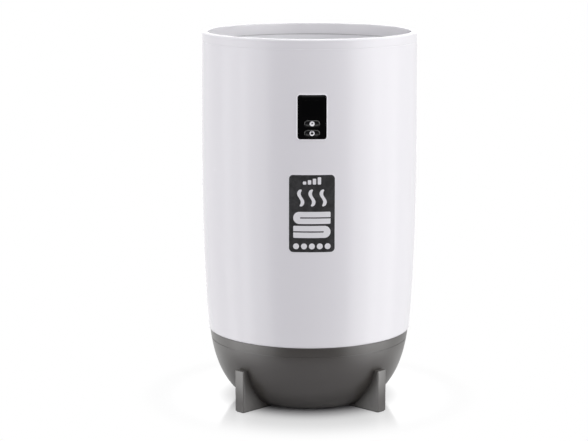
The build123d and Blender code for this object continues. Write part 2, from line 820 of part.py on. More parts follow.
with BuildPart() as filter_capacitor:
    with BuildSketch(Plane.XY.offset(board_top)):
        with Locations((-8, -14)):
            Circle(6.5)
    extrude(amount=22)
    fillet(filter_capacitor.edges().filter_by(GeomType.CIRCLE).sort_by(Axis.Z)[-1], 0.8)

with BuildPart() as mains_capacitor:
    with BuildSketch(Plane.XY.offset(board_top)):
        with Locations((-28, 8)):
            Rectangle(18, 8)
    extrude(amount=15)

with BuildPart() as buzzer:
    with BuildSketch(Plane.XY.offset(board_top)):
        with Locations((-6, 10)):
            Circle(6)
    extrude(amount=9)
    with BuildSketch(Plane.XY.offset(board_top + 9)):
        with Locations((-6, 10)):
            Circle(1)
    extrude(amount=-3, mode=Mode.SUBTRACT)

with BuildPart() as terminal_block:
    with BuildSketch(Plane.XY.offset(board_top)):
        with Locations((-11, block_back)):
            Rectangle(50, 12, align=(Align.CENTER, Align.MAX))
    extrude(amount=14)
    with BuildSketch(Plane.XY.offset(board_top + 14)):
        with Locations((-11, block_back - 6)):
            with GridLocations(8, 1, 6, 1):
                Circle(2)
    extrude(amount=-3, mode=Mode.SUBTRACT)

with BuildPart() as board_connector:
    with BuildSketch(Plane.XY.offset(board_top)):
        with Locations((0, -34)):
            Rectangle(14, 6)
    extrude(amount=9)

# ---- each piece is labelled and written to its own file ----
pieces = {
    "outer_shell": outer_shell.part,
    "rim_ring": rim_ring.part,
    "rim_gasket": rim_gasket.part,
    "liner": liner.part,
    "heating_foil": heating_foil.part,
    "insulation_sleeve": insulation_sleeve.part,
    "base_heater": base_heater.part,
    "liner_support": liner_support.part,
    "heat_shield": heat_shield.part,
    "shell_screws": shell_screws.part,
    "bowl_screws": bowl_screws.part,
    "thermostat": thermostat.part,
    "thermal_fuse": thermal_fuse.part,
    "temperature_sensor": temperature_sensor.part,
    "sensor_strap": sensor_strap.part,
    "heater_leads": heater_leads.part,
    "ground_lead": ground_lead.part,
    "sensor_leads": sensor_leads.part,
    "base_bowl": base_bowl.part,
    "seam_gasket": seam_gasket.part,
    "bottom_cover": bottom_cover.part,
    "bottom_cover_screws": bottom_cover_screws.part,
    "leg_screws": leg_screws.part,
    "cord_gland": cord_gland.part,
    "gland_nut": gland_nut.part,
    "panel_bezel": panel_bezel.part,
    "display_window": display_window.part,
    "timer_button": button(timer_height),
    "power_button": button(power_height),
    "timer_switch": switch(timer_height),
    "power_switch": switch(power_height),
    "timer_plunger": plunger(timer_height),
    "power_plunger": plunger(power_height),
    "panel_board": panel_board.part,
    "display_module": display_module.part,
    "panel_connector": panel_connector.part,
    "panel_back_cover": panel_back_cover.part,
    "panel_screws": panel_screws.part,
    "ribbon_cable": ribbon_cable.part,
    "front_label": front_label.part,
    "board_standoffs": board_standoffs.part,
    "control_board": control_board.part,
    "board_screws": board_screws.part,
    "relay": relay.part,
    "transformer": transformer.part,
    "filter_capacitor": filter_capacitor.part,
    "mains_capacitor": mains_capacitor.part,
    "buzzer": buzzer.part,
    "terminal_block": terminal_block.part,
    "board_connector": board_connector.part,
}
for side, angle in leg_directions.items():
    pieces["leg_" + side] = leg(angle)
    pieces["foot_pad_" + side] = foot_pad(angle)

for name, piece in pieces.items():
    piece.label = name
    export_step(piece, "parts/" + name + ".step")
print(len(pieces), "pieces written")
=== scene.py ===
# %% [markdown]
# # A towel warmer bucket, dressed for the camera
# The object is a tall white drum that stands on a dark grey bowl with four upright fins. A thin metal bucket hangs
# inside the drum, a black panel with two push buttons is let into its front, and a sticker sits below the panel.
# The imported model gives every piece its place. This script lays finished surfaces around it: the big round
# mouldings, the panel and the sticker are modelled again with smooth skins, and the small inner pieces keep their
# solid shape and get a finish of their own.

# %% Load the frame
import json
from math import atan2, cos, hypot, pi, radians, sin, tan

import bpy
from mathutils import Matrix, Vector


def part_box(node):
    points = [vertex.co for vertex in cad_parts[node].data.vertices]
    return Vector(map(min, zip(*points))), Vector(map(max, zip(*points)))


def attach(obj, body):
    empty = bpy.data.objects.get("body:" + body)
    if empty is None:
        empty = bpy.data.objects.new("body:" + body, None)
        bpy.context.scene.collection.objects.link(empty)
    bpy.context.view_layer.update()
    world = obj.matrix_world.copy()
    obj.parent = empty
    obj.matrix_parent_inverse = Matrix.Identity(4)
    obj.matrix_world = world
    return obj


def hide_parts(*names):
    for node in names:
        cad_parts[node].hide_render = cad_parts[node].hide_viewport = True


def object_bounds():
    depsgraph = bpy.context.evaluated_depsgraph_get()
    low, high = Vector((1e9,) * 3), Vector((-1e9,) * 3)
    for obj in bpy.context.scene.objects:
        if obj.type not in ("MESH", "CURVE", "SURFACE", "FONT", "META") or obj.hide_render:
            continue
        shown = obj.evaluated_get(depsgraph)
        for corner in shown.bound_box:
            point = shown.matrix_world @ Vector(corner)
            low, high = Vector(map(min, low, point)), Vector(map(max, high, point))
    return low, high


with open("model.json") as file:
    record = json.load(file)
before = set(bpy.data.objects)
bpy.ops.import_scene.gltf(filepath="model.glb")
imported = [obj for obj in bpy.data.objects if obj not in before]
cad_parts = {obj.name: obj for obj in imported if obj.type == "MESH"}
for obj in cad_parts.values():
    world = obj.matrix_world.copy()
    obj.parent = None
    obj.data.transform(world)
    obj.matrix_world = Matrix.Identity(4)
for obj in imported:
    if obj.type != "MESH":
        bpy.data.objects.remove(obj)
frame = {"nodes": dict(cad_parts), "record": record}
cad_low, cad_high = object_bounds()
nodes = frame["nodes"]
print(len(nodes), "solid pieces,", "height", round(cad_high.z, 4), "m")

# %% [markdown]
# ## Handling pieces
# An operator acts on whatever is selected, as it does by hand. So each step starts by taking one piece in hand, and
# a modifier is applied as soon as it is set, which leaves plain meshes that nothing can change later.


# %% Small helpers for operators
def hold(piece):
    """Takes one piece in hand: it alone is selected and active."""
    bpy.ops.object.select_all(action="DESELECT")
    piece.select_set(True)
    bpy.context.view_layer.objects.active = piece
    return piece


def settle(piece, name):
    """Puts the place of a piece into its mesh, so that the object itself sits at the origin."""
    hold(piece)
    bpy.ops.object.transform_apply(location=True, rotation=True, scale=True)
    piece.name = name
    piece.data.name = name
    return piece


def work(piece, kind, **settings):
    """Adds a modifier with these settings and applies it."""
    hold(piece)
    modifier = piece.modifiers.new(kind.lower(), kind)
    for name, value in settings.items():
        setattr(modifier, name, value)
    bpy.ops.object.modifier_apply(modifier=modifier.name)
    return piece


def carve(piece, tool, operation="DIFFERENCE"):
    """Cuts the tool out of the piece, or joins them, and throws the tool away."""
    work(piece, "BOOLEAN", operation=operation, object=tool, solver="EXACT")
    bpy.data.objects.remove(tool)
    return piece


def gather(*pieces):
    """Joins pieces that lie apart into one object, so that they cut or add in a single pass."""
    hold(pieces[0])
    for piece in pieces[1:]:
        piece.select_set(True)
    bpy.ops.object.join()
    return pieces[0]


def copy_of(piece, name, angle=0.0):
    """A copy with a mesh of its own, turned about the drum's axis."""
    hold(piece)
    bpy.ops.object.duplicate()
    copy = bpy.context.object
    copy.rotation_euler = (0, 0, angle)
    return settle(copy, name)


def smooth(piece, degrees=30):
    """Smooth shading that stays crisp where faces meet at more than this angle."""
    hold(piece)
    bpy.ops.object.shade_smooth_by_angle(angle=radians(degrees))
    return piece


def clean(piece):
    """Merges doubled points and turns every face outwards."""
    hold(piece)
    bpy.ops.object.mode_set(mode="EDIT")
    bpy.ops.mesh.select_all(action="SELECT")
    bpy.ops.mesh.remove_doubles(threshold=1e-6)
    bpy.ops.mesh.normals_make_consistent(inside=False)
    bpy.ops.object.mode_set(mode="OBJECT")
    return piece


def finish_piece(piece, body, slot, *replaced):
    """Says what the piece rides on and which solids it stands for. The slot argument is not used."""
    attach(piece, body)
    if replaced:
        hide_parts(*replaced)
    triangles = sum(len(face.vertices) - 2 for face in piece.data.polygons)
    print(piece.name, triangles, "triangles")
    return piece


# %% [markdown]
# ## Outlines
# A round moulding is turned from its outline, as clay is on a wheel. The outline could be typed in as a list of
# points, but a Bezier curve holds the same sweep in four, and its smoothness is chosen afterwards. So every outline
# here is a chain of spans: a straight run has two points, a sweep has four, and a rounded corner comes from its
# radius. Each span is drawn as its own spline, with as many steps as it needs.


# %% Spans of an outline
def sweep(points, steps):
    """A Bezier sweep through four control points."""
    return [(points, steps)]


def corner_arc(before, corner, after, radius, steps):
    """The rounded corner between two straight runs, as one sweep that lies on its circle."""
    arms = []
    for end in (before, after):
        length = hypot(end[0] - corner[0], end[1] - corner[1])
        arms.append(((end[0] - corner[0]) / length, (end[1] - corner[1]) / length))
    bend = pi - abs(atan2(arms[0][0] * arms[1][1] - arms[0][1] * arms[1][0],
                          arms[0][0] * arms[1][0] + arms[0][1] * arms[1][1]))
    reach = radius * tan(bend / 2)
    pull = reach - radius * 4 / 3 * tan(bend / 4)
    points = [
        (corner[0] + arms[0][0] * reach, corner[1] + arms[0][1] * reach),
        (corner[0] + arms[0][0] * pull, corner[1] + arms[0][1] * pull),
        (corner[0] + arms[1][0] * pull, corner[1] + arms[1][1] * pull),
        (corner[0] + arms[1][0] * reach, corner[1] + arms[1][1] * reach),
    ]
    return (points, steps)


def run(*corners, radii=None, steps=6, closed=False):
    """Straight runs from corner to corner, where corners are rounded to their radii."""
    corners = list(corners)
    count = len(corners)
    radii = radii or [0] * count
    spans = []
    arcs = {}
    for i in range(count):
        if radii[i] and (closed or 0 < i < count - 1):
            arcs[i] = corner_arc(corners[i - 1], corners[i], corners[(i + 1) % count], radii[i], steps)
    for i in range(count if closed else count - 1):
        ahead = (i + 1) % count
        start = arcs[i][0][-1] if i in arcs else corners[i]
        end = arcs[ahead][0][0] if ahead in arcs else corners[ahead]
        if hypot(end[0] - start[0], end[1] - start[1]) > 1e-7:
            spans.append(([start, end], 1))
        if ahead in arcs:
            spans.append(arcs[ahead])
    return spans


def share_at(points, height):
    """How far along a falling sweep it reaches this height, from 0 to 1."""
    low, high = 0.0, 1.0
    for _ in range(50):
        middle = (low + high) / 2
        low, high = (middle, high) if along(points, middle)[1] > height else (low, middle)
    return low


def along(points, share):
    """The point of a sweep at this share of its parameter."""
    while len(points) > 1:
        points = [tuple(a + (b - a) * share for a, b in zip(p, q)) for p, q in zip(points, points[1:])]
    return points[0]


def piece_of(points, top, bottom):
    """The stretch of a falling sweep between two heights, as a sweep of its own."""
    for height, keep_end in ((top, True), (bottom, False)):
        if not points[0][1] > height > points[-1][1]:
            continue
        share = share_at(points, height)
        head, tail = [points[0]], [points[-1]]
        level = points
        while len(level) > 1:
            level = [tuple(a + (b - a) * share for a, b in zip(p, q)) for p, q in zip(level, level[1:])]
            head.append(level[0])
            tail.insert(0, level[-1])
        points = tail if keep_end else head
    return points


def radius_at(points, height):
    """The distance of a falling sweep from the axis at this height."""
    return along(points, share_at(points, height))[0]


# %% [markdown]
# Drawing puts each span into one curve object and makes that a mesh of edges. Turning it uses the spin operator.
# The first and the last copy of the outline meet, so they are merged, and points on the axis close into a pole.


# %% Draw an outline and turn it
AXIS = (0, 0, 1)
AROUND = 256                    # steps of a full turn: facets of 3.7 mm, which shade as one surface


def draw(spans):
    """Draws the spans in the upright plane through the axis and makes them edges."""
    bpy.ops.object.select_all(action="DESELECT")
    bpy.ops.curve.primitive_bezier_curve_add(location=(0, 0, 0))
    drawing = bpy.context.object
    drawing.data.splines.clear()
    for points, steps in spans:
        spline = drawing.data.splines.new("BEZIER")
        spline.bezier_points.add(1)
        spline.resolution_u = steps
        ends = spline.bezier_points
        for end in ends:
            end.handle_left_type = end.handle_right_type = "FREE"
        first, last = points[0], points[-1]
        lean = points[1:-1] or [
            tuple(a + (b - a) * share for a, b in zip(first, last)) for share in (1 / 3, 2 / 3)
        ]
        for end, place, handle in ((ends[0], first, lean[0]), (ends[1], last, lean[1])):
            end.co = (place[0], 0, place[1])
            end.handle_left = end.handle_right = (handle[0], 0, handle[1])
    bpy.ops.object.convert(target="MESH")
    return bpy.context.object


def turn(spans, name, steps=AROUND, angle=2 * pi, start=0.0):
    """Turns an outline about the drum's axis. A part turn goes clockwise from start, as seen from above."""
    piece = draw(spans)
    hold(piece)
    piece.rotation_euler = (0, 0, start)
    bpy.ops.object.transform_apply(location=True, rotation=True, scale=True)
    bpy.ops.object.mode_set(mode="EDIT")
    bpy.ops.mesh.select_all(action="SELECT")
    bpy.ops.mesh.remove_doubles(threshold=1e-6)
    bpy.ops.mesh.spin(steps=steps, angle=angle, center=(0, 0, 0), axis=AXIS)
    bpy.ops.object.mode_set(mode="OBJECT")
    clean(piece)
    piece.name = name
    piece.data.name = name
    return smooth(piece)


# %% [markdown]
# ## The drum
# The drum is one white moulding, open at the top. Its wall is a long, barely swelling sweep that draws in towards
# the foot. The hairline under the rim and the rounded foot edge catch light, so both are real shape and not bump.

# %% The drum's sweep
RIM_RADIUS = 0.150
TOP = cad_high.z
SEAM_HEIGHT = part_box("outer_shell")[0].z
RIM_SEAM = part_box("outer_shell")[1].z
FOOT_RADIUS = 0.1427
DRUM_WALL = 0.003
FOOT_ROUNDING = 0.0015
HAIRLINE = 0.00035
UPPER_SWELL, UPPER_SWELL_HEIGHT = 0.0019, 0.379
LOWER_SWELL, LOWER_SWELL_HEIGHT = 0.0097, 0.2015


def drum_sweep(inset=0.0):
    """The drum's outline from the rim down to the foot, moved in by inset."""
    return [
        (RIM_RADIUS - inset, TOP),
        (RIM_RADIUS + UPPER_SWELL - inset, UPPER_SWELL_HEIGHT),
        (FOOT_RADIUS + LOWER_SWELL - inset, LOWER_SWELL_HEIGHT),
        (FOOT_RADIUS - inset, SEAM_HEIGHT),
    ]


rim_seam_radius = radius_at(drum_sweep(), RIM_SEAM)
print("radius at the rim seam", round(rim_seam_radius, 5), "m")

# %% Turn the drum
outside = piece_of(drum_sweep(), RIM_SEAM - HAIRLINE, SEAM_HEIGHT + FOOT_ROUNDING)
inside = piece_of(drum_sweep(DRUM_WALL), RIM_SEAM, SEAM_HEIGHT)
foot = (FOOT_RADIUS, SEAM_HEIGHT)
foot_end = (FOOT_RADIUS - FOOT_ROUNDING, SEAM_HEIGHT)
drum = turn(
    sweep(outside, 72)
    + [corner_arc(outside[-1], foot, (foot_end[0] - 1e-5, SEAM_HEIGHT), FOOT_ROUNDING, 6)]
    + run((inside[-1]), foot_end)
    + sweep(inside, 24)
    + run(inside[0], (rim_seam_radius - HAIRLINE, RIM_SEAM), outside[0]),
    "drum",
)
finish_piece(drum, "housing", "shell_white", "outer_shell")

# %% [markdown]
# ## The rim ring
# The ring round the mouth snaps into the drum. From the front only a thin bright lip shows, with a larger rounding
# outside than inside, and through the mouth the bore below it. Its hidden spigot is turned in the same pass.

# %% Turn the rim ring
MOUTH_RADIUS = 0.142
SKIRT_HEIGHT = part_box("rim_gasket")[1].z
SPIGOT_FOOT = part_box("rim_ring")[0].z
SPIGOT_INNER = 0.1454
SPIGOT_OUTER = RIM_RADIUS - DRUM_WALL
LIP_OUTER_ROUND, LIP_INNER_ROUND = 0.0025, 0.0015

ring_outside = piece_of(drum_sweep(), TOP - LIP_OUTER_ROUND, RIM_SEAM + HAIRLINE)
lip_corner = (RIM_RADIUS, TOP)
rim = turn(
    sweep(ring_outside, 6)
    + [corner_arc(ring_outside[0], lip_corner, (MOUTH_RADIUS, TOP), LIP_OUTER_ROUND, 8)]
    + run(
        (RIM_RADIUS - LIP_OUTER_ROUND, TOP), (MOUTH_RADIUS, TOP), (MOUTH_RADIUS, SKIRT_HEIGHT),
        (SPIGOT_INNER, SKIRT_HEIGHT), (SPIGOT_INNER, SPIGOT_FOOT), (SPIGOT_OUTER, SPIGOT_FOOT),
        (SPIGOT_OUTER, RIM_SEAM), (rim_seam_radius - HAIRLINE, RIM_SEAM), ring_outside[-1],
        radii=[0, LIP_INNER_ROUND, 0, 0, 0, 0, 0, 0, 0],
    ),
    "rim_collar",
)
finish_piece(rim, "housing", "shell_white", "rim_ring")

# %% [markdown]
# ## The heated bucket
# A thin metal bucket hangs in the mouth by its flange. Its corner above the floor is a wide radius, so that towels
# slide out, and its wall leans out and flares at the neck. Both faces of the sheet are drawn, a wall's width apart.

# %% Turn the heated bucket
LINER_WALL = 0.001
LINER_FLOOR, LINER_FLOOR_RADIUS, LINER_CORNER = 0.122, 0.127, 0.015
LINER_NECK, LINER_NECK_RADIUS = 0.485, 0.1375
LINER_MOUTH_RADIUS = 0.1424
FLANGE_RADIUS, FLANGE_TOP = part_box("liner")[1].x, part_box("liner")[1].z


def bucket_run(grow, top):
    """The bucket's line from the middle of its floor to its mouth, moved out by grow."""
    return run(
        (0.0, LINER_FLOOR - grow),
        (LINER_FLOOR_RADIUS + grow, LINER_FLOOR - grow),
        (LINER_NECK_RADIUS + grow, LINER_NECK),
        (LINER_MOUTH_RADIUS + grow, LINER_NECK + 0.012),
        (LINER_MOUTH_RADIUS + grow, top),
        radii=[0, LINER_CORNER + grow, 0.020, 0.012, 0], steps=10,
    )


flange_under = FLANGE_TOP - LINER_WALL
bucket = turn(
    bucket_run(0, FLANGE_TOP)
    + run((LINER_MOUTH_RADIUS, FLANGE_TOP), (FLANGE_RADIUS, FLANGE_TOP), (FLANGE_RADIUS, flange_under),
          (LINER_MOUTH_RADIUS + LINER_WALL, flange_under))
    + bucket_run(LINER_WALL, flange_under),
    "heated_bucket",
)
finish_piece(bucket, "housing", "liner_coat", "liner")

# %% [markdown]
# ## The bowl
# The base is a dark grey bowl. Its wall falls almost upright from the seam and then rolls under to a flat bottom.
# A fine groove runs round it below the seam. The rebate in the bottom takes the round cover, four posts carry the
# long screws, and a flat pad at the rear takes the cord gland.

# %% The bowl's sweep
BOWL_TOP = 0.1009
BOWL_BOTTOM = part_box("base_bowl")[0].z
BOWL_WALL = 0.003
BOWL_EDGE_ROUND = 0.0005
GROOVE_LOW, GROOVE_HIGH, GROOVE_RADIUS = 0.0876, 0.0884, 0.1389
COVER_REBATE_RADIUS, COVER_REBATE_TOP, COVER_OPENING = 0.078, 0.0048, 0.070
BOWL_SPIGOT = (0.1369, 0.1394)
BOWL_SPIGOT_FOOT, BOWL_SPIGOT_TOP = 0.0949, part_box("base_bowl")[1].z


def bowl_sweep(grow=0.0):
    """The bowl's outline from the seam down and under, moved out by grow."""
    return [
        (0.1413 + grow, BOWL_TOP if grow >= 0 else BOWL_TOP + 0.001),
        (0.1374 + grow, 0.0685),
        (0.1241 + 0.8 * grow, -0.0036 - grow),
        (0.060, -0.0036 - grow),
    ]


# %% Turn the bowl
wall_above = piece_of(bowl_sweep(), BOWL_TOP - BOWL_EDGE_ROUND, GROOVE_HIGH)
wall_below = piece_of(bowl_sweep(), GROOVE_LOW, BOWL_BOTTOM)
wall_inside = piece_of(bowl_sweep(-BOWL_WALL), BOWL_SPIGOT_FOOT, BOWL_BOTTOM + BOWL_WALL)
edge = (bowl_sweep()[0][0], BOWL_TOP)
bowl = turn(
    sweep(wall_above, 6)
    + run(wall_above[-1], (GROOVE_RADIUS, GROOVE_HIGH), (GROOVE_RADIUS, GROOVE_LOW), wall_below[0])
    + sweep(wall_below, 64)
    + run(wall_below[-1], (COVER_REBATE_RADIUS, BOWL_BOTTOM), (COVER_REBATE_RADIUS, COVER_REBATE_TOP),
          (COVER_OPENING, COVER_REBATE_TOP), (COVER_OPENING, BOWL_BOTTOM + BOWL_WALL), wall_inside[-1])
    + sweep(wall_inside, 32)
    + run(wall_inside[0], (BOWL_SPIGOT[0], BOWL_SPIGOT_FOOT), (BOWL_SPIGOT[0], BOWL_SPIGOT_TOP),
          (BOWL_SPIGOT[1], BOWL_SPIGOT_TOP), (BOWL_SPIGOT[1], BOWL_TOP), (edge[0] - BOWL_EDGE_ROUND, BOWL_TOP))
    + [corner_arc((BOWL_SPIGOT[1], BOWL_TOP), edge, wall_above[0], BOWL_EDGE_ROUND, 4)],
    "bowl",
)


def rod(place, radius, depth, turned=(0, 0, 0), sides=48):
    """A plain round rod, used to add bosses and to drill holes."""
    bpy.ops.object.select_all(action="DESELECT")
    bpy.ops.mesh.primitive_cylinder_add(
        vertices=sides, radius=radius, depth=depth, location=place, rotation=turned
    )
    return settle(bpy.context.object, "rod")


POST_RADIUS, POST_ANGLE, POST_SIZE, TUNNEL_SIZE = 0.084, 15, 0.006, 0.0042
POST_TOP = 0.1055
GLAND_HEIGHT, GLAND_SEAT, GLAND_PAD, GLAND_HOLE = 0.060, 0.137, 0.011, 0.0061
LEVEL = (pi / 2, 0, 0)          # turns a rod level, along Y

added = [rod((0, GLAND_SEAT - 0.0085, GLAND_HEIGHT), GLAND_PAD, 0.017, LEVEL)]
drilled = [rod((0, GLAND_SEAT, GLAND_HEIGHT), GLAND_HOLE, 0.060, LEVEL)]
for quarter in range(4):
    angle = radians(POST_ANGLE + 90 * quarter)
    across, ahead = POST_RADIUS * cos(angle), POST_RADIUS * sin(angle)
    post_middle = (BOWL_BOTTOM + POST_TOP) / 2
    added.append(rod((across, ahead, post_middle), POST_SIZE, POST_TOP - BOWL_BOTTOM - 2e-5))
    drilled.append(rod((across, ahead, 0.030), TUNNEL_SIZE, 0.060))
carve(bowl, gather(*added), "UNION")
carve(bowl, gather(*drilled))
smooth(bowl)
finish_piece(bowl, "housing", "base_grey", "base_bowl")

# %% [markdown]
# ## The legs
# Four upright fins stand diagonally under the bowl, and their inner edges follow it. Each starts as a block, its
# outer and upper edges are rounded, and the bowl's own turned form is then cut out of it, so that the joint line
# runs true. A thin rubber strip is let in under each fin.

# %% Shape one leg, then stand four
LEG_INNER, LEG_OUTER, LEG_THICKNESS, LEG_TOP = 0.082, 0.1401, 0.016, 0.0592
PAD_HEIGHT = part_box("foot_pad_front_left")[1].z
LEG_ROUNDING, LEG_FIT = 0.0012, 0.00005
PAD_INSET, PAD_CORNER = 0.001, 0.002
LEG_ANGLES = {"front_right": -45, "rear_right": 45, "rear_left": 135, "front_left": -135}


def block(low, high):
    """A block between two opposite corners."""
    bpy.ops.object.select_all(action="DESELECT")
    middle = [(a + b) / 2 for a, b in zip(low, high)]
    bpy.ops.mesh.primitive_cube_add(size=1, location=middle, scale=[b - a for a, b in zip(low, high)])
    return settle(bpy.context.object, "block")


def round_edges(piece, chosen, width, segments):
    """Bevels the edges whose two ends pass the test."""
    hold(piece)
    bpy.ops.object.mode_set(mode="EDIT")
    bpy.ops.mesh.select_mode(type="EDGE")
    bpy.ops.mesh.select_all(action="DESELECT")
    bpy.ops.object.mode_set(mode="OBJECT")
    points = piece.data.vertices
    for line in piece.data.edges:
        line.select = chosen(points[line.vertices[0]].co, points[line.vertices[1]].co)
    bpy.ops.object.mode_set(mode="EDIT")
    bpy.ops.mesh.bevel(offset=width, offset_type="OFFSET", segments=segments, affect="EDGES")
    bpy.ops.object.mode_set(mode="OBJECT")
    return piece


def leg_form():
    """One fin, straight out along X."""
    fin = block((LEG_INNER, -LEG_THICKNESS / 2, PAD_HEIGHT), (LEG_OUTER, LEG_THICKNESS / 2, LEG_TOP))
    outer = LEG_OUTER - 1e-6
    top = LEG_TOP - 1e-6
    round_edges(
        fin,
        lambda a, b: (a.x > outer and b.x > outer and abs(a.z - b.z) > 0.01) or (
            a.z > top and b.z > top and (a.x > outer or b.x > outer)),
        LEG_ROUNDING, 4,
    )
    form = piece_of(bowl_sweep(LEG_FIT), BOWL_TOP + 1, BOWL_BOTTOM)
    tool = turn(
        sweep(form, 64) + run(form[-1], (0, form[-1][1]), (0, form[0][1]), form[0]), "tool"
    )
    carve(fin, tool)
    return smooth(clean(fin), 35)


def pad_form():
    """The rubber strip under that fin."""
    half = LEG_THICKNESS / 2 - PAD_INSET
    pad = block((LEG_INNER + PAD_INSET, -half, 0), (LEG_OUTER - PAD_INSET, half, PAD_HEIGHT))
    round_edges(pad, lambda a, b: abs(a.z - b.z) > PAD_HEIGHT / 2, PAD_CORNER, 6)
    return smooth(pad)


first_fin, first_strip = leg_form(), pad_form()
legs, pads = [], []
for side, angle in LEG_ANGLES.items():
    fin = copy_of(first_fin, "fin_" + side, radians(angle))
    legs.append(finish_piece(fin, "housing", "base_grey", "leg_" + side))
    strip = copy_of(first_strip, "rubber_strip_" + side, radians(angle))
    pads.append(finish_piece(strip, "housing", "pad_rubber", "foot_pad_" + side))
for first in (first_fin, first_strip):
    bpy.data.objects.remove(first)

# %% [markdown]
# ## Plates that follow the drum
# The panel, its window, the buttons and the sticker are all cut from the flat and then bent round the drum. The
# outline is drawn and filled, sliced into narrow strips so that it can bend, and laid on the drum's curved front
# with Shrinkwrap. Solidify gives it its thickness and Bevel breaks its edges.

# %% Cut, bend and thicken a plate
STRIP_WIDTH, STRIP_HEIGHT = 0.001, 0.004
FRONT_ARC = radians(28)
AHEAD = -0.2                    # where flat outlines wait in front of the drum


def rounded_loop(width, height, corner, centre, steps=8):
    """An upright rounded rectangle, as spans."""
    x, low, high = width / 2, centre - height / 2, centre + height / 2
    return run((-x, low), (x, low), (x, high), (-x, high), radii=[corner] * 4, steps=steps, closed=True)


def slot_loop(width, height, centre):
    """A level slot with round ends, as spans."""
    return rounded_loop(width, height, height / 2 - 1e-6, centre, 12)


def slice_up(across, up):
    """Slices the mesh in hand along upright and level planes at these places."""
    for place, normal in [((x, 0, 0), (1, 0, 0)) for x in across] + [((0, 0, z), (0, 0, 1)) for z in up]:
        bpy.ops.mesh.select_all(action="SELECT")
        bpy.ops.mesh.bisect(plane_co=place, plane_no=normal)


def lay_on_drum(sheet, proud):
    """Moves a flat outline or sheet straight back until it stands this far proud of the drum's skin."""
    sheet.location.y = AHEAD
    settle(sheet, "plate")
    heights = [point.co.z for point in sheet.data.vertices]
    behind = piece_of(drum_sweep(-proud), max(heights) + 0.0031, min(heights) - 0.0017)
    form = turn(sweep(behind, 23), "form", 113, FRONT_ARC, -pi / 2 + FRONT_ARC / 2)
    work(sheet, "SHRINKWRAP", target=form, wrap_method="PROJECT", use_project_y=True,
         use_project_x=False, use_project_z=False, use_positive_direction=True, use_negative_direction=False)
    bpy.data.objects.remove(form)
    missed = [point for point in sheet.data.vertices if point.co.y < AHEAD + 0.01]
    if missed:
        print(len(missed), "points were not laid on the drum")
    return sheet


def plate(loops, proud, depth, edge_round=0.0, segments=3):
    """A plate that follows the drum: its face stands proud of the drum's skin, and it goes depth back from there."""
    sheet = draw(loops)
    hold(sheet)
    bpy.ops.object.mode_set(mode="EDIT")
    bpy.ops.mesh.select_all(action="SELECT")
    bpy.ops.mesh.remove_doubles(threshold=1e-6)
    bpy.ops.mesh.fill(use_beauty=True)
    bpy.ops.object.mode_set(mode="OBJECT")
    reach = [point.co for point in sheet.data.vertices]
    wide = max(point.x for point in reach)
    bottom, top = min(point.z for point in reach), max(point.z for point in reach)
    strips = int(wide / STRIP_WIDTH)
    levels = int((top - bottom) / STRIP_HEIGHT)
    bpy.ops.object.mode_set(mode="EDIT")
    slice_up([i * STRIP_WIDTH for i in range(-strips, strips + 1)],
             [bottom + (top - bottom) * (i + 1) / (levels + 1) for i in range(levels)])
    bpy.ops.mesh.select_all(action="SELECT")
    bpy.ops.mesh.remove_doubles(threshold=1e-6)
    bpy.ops.mesh.normals_make_consistent(inside=False)
    bpy.ops.object.mode_set(mode="OBJECT")
    if sheet.data.polygons[0].normal.y > 0:
        sheet.data.flip_normals()
    lay_on_drum(sheet, proud)
    work(sheet, "SOLIDIFY", thickness=depth, offset=-1, use_even_offset=True)
    if edge_round:
        work(sheet, "BEVEL", width=edge_round, segments=segments, limit_method="ANGLE", angle_limit=radians(50),
             use_clamp_overlap=False, harden_normals=False)
    return sheet


# %% [markdown]
# ## The control panel
# The panel is one glossy black plate with a window pane let into it, flush, and two oval push buttons that stand
# out of it. The drum has a seat of the panel's outline with a fine raised bead round it, which shows as a pale line:
# its rounding catches the light, and a painted highlight in its colour adds to that. Behind the seat is a window
# that the panel's hidden skirt goes through. Each button is a cap with a rounded rim and a shallow dish, so that its
# two ends catch thin arcs of light.

# %% The panel's seat in the drum
PANEL_WIDTH, PANEL_HEIGHT, PANEL_CENTRE, PANEL_CORNER = 0.0390, 0.0589, 0.4188, 0.0035
PANEL_PROUD, PANEL_RECESS, PANEL_GAP = 0.00035, 0.0016, 0.00015
SKIRT_WINDOW = (0.0338, 0.0567)
BEAD_WIDTH, BEAD_PROUD, BEAD_ROUND = 0.0014, 0.0006, 0.00056

seat = plate(
    rounded_loop(PANEL_WIDTH + 2 * PANEL_GAP, PANEL_HEIGHT + 2 * PANEL_GAP, PANEL_CORNER + PANEL_GAP, PANEL_CENTRE),
    0.003, 0.003 + PANEL_RECESS,
)
bead_size = [size + 2 * (PANEL_GAP + BEAD_WIDTH) for size in (PANEL_WIDTH, PANEL_HEIGHT)]
bead = plate(
    rounded_loop(*bead_size, PANEL_CORNER + PANEL_GAP + BEAD_WIDTH, PANEL_CENTRE), BEAD_PROUD, 0.0012, BEAD_ROUND, 4
)
carve(drum, bead, "UNION")
carve(drum, seat)
carve(drum, block(
    (-SKIRT_WINDOW[0] / 2, -0.16, PANEL_CENTRE - SKIRT_WINDOW[1] / 2),
    (SKIRT_WINDOW[0] / 2, -0.13, PANEL_CENTRE + SKIRT_WINDOW[1] / 2),
))
smooth(drum)

# %% The panel and its window
WINDOW_WIDTH, WINDOW_HEIGHT, WINDOW_CENTRE = 0.024, 0.017, 0.4305
PANE_LAP, PANE_DEPTH, PANE_GAP = 0.0038, 0.00115, 0.00004
BUTTON_WIDTH, BUTTON_HEIGHT, BUTTON_GAP = 0.0210, 0.0090, 0.0002
BUTTON_HEIGHTS = {"timer": 0.4101, "power": 0.3973}

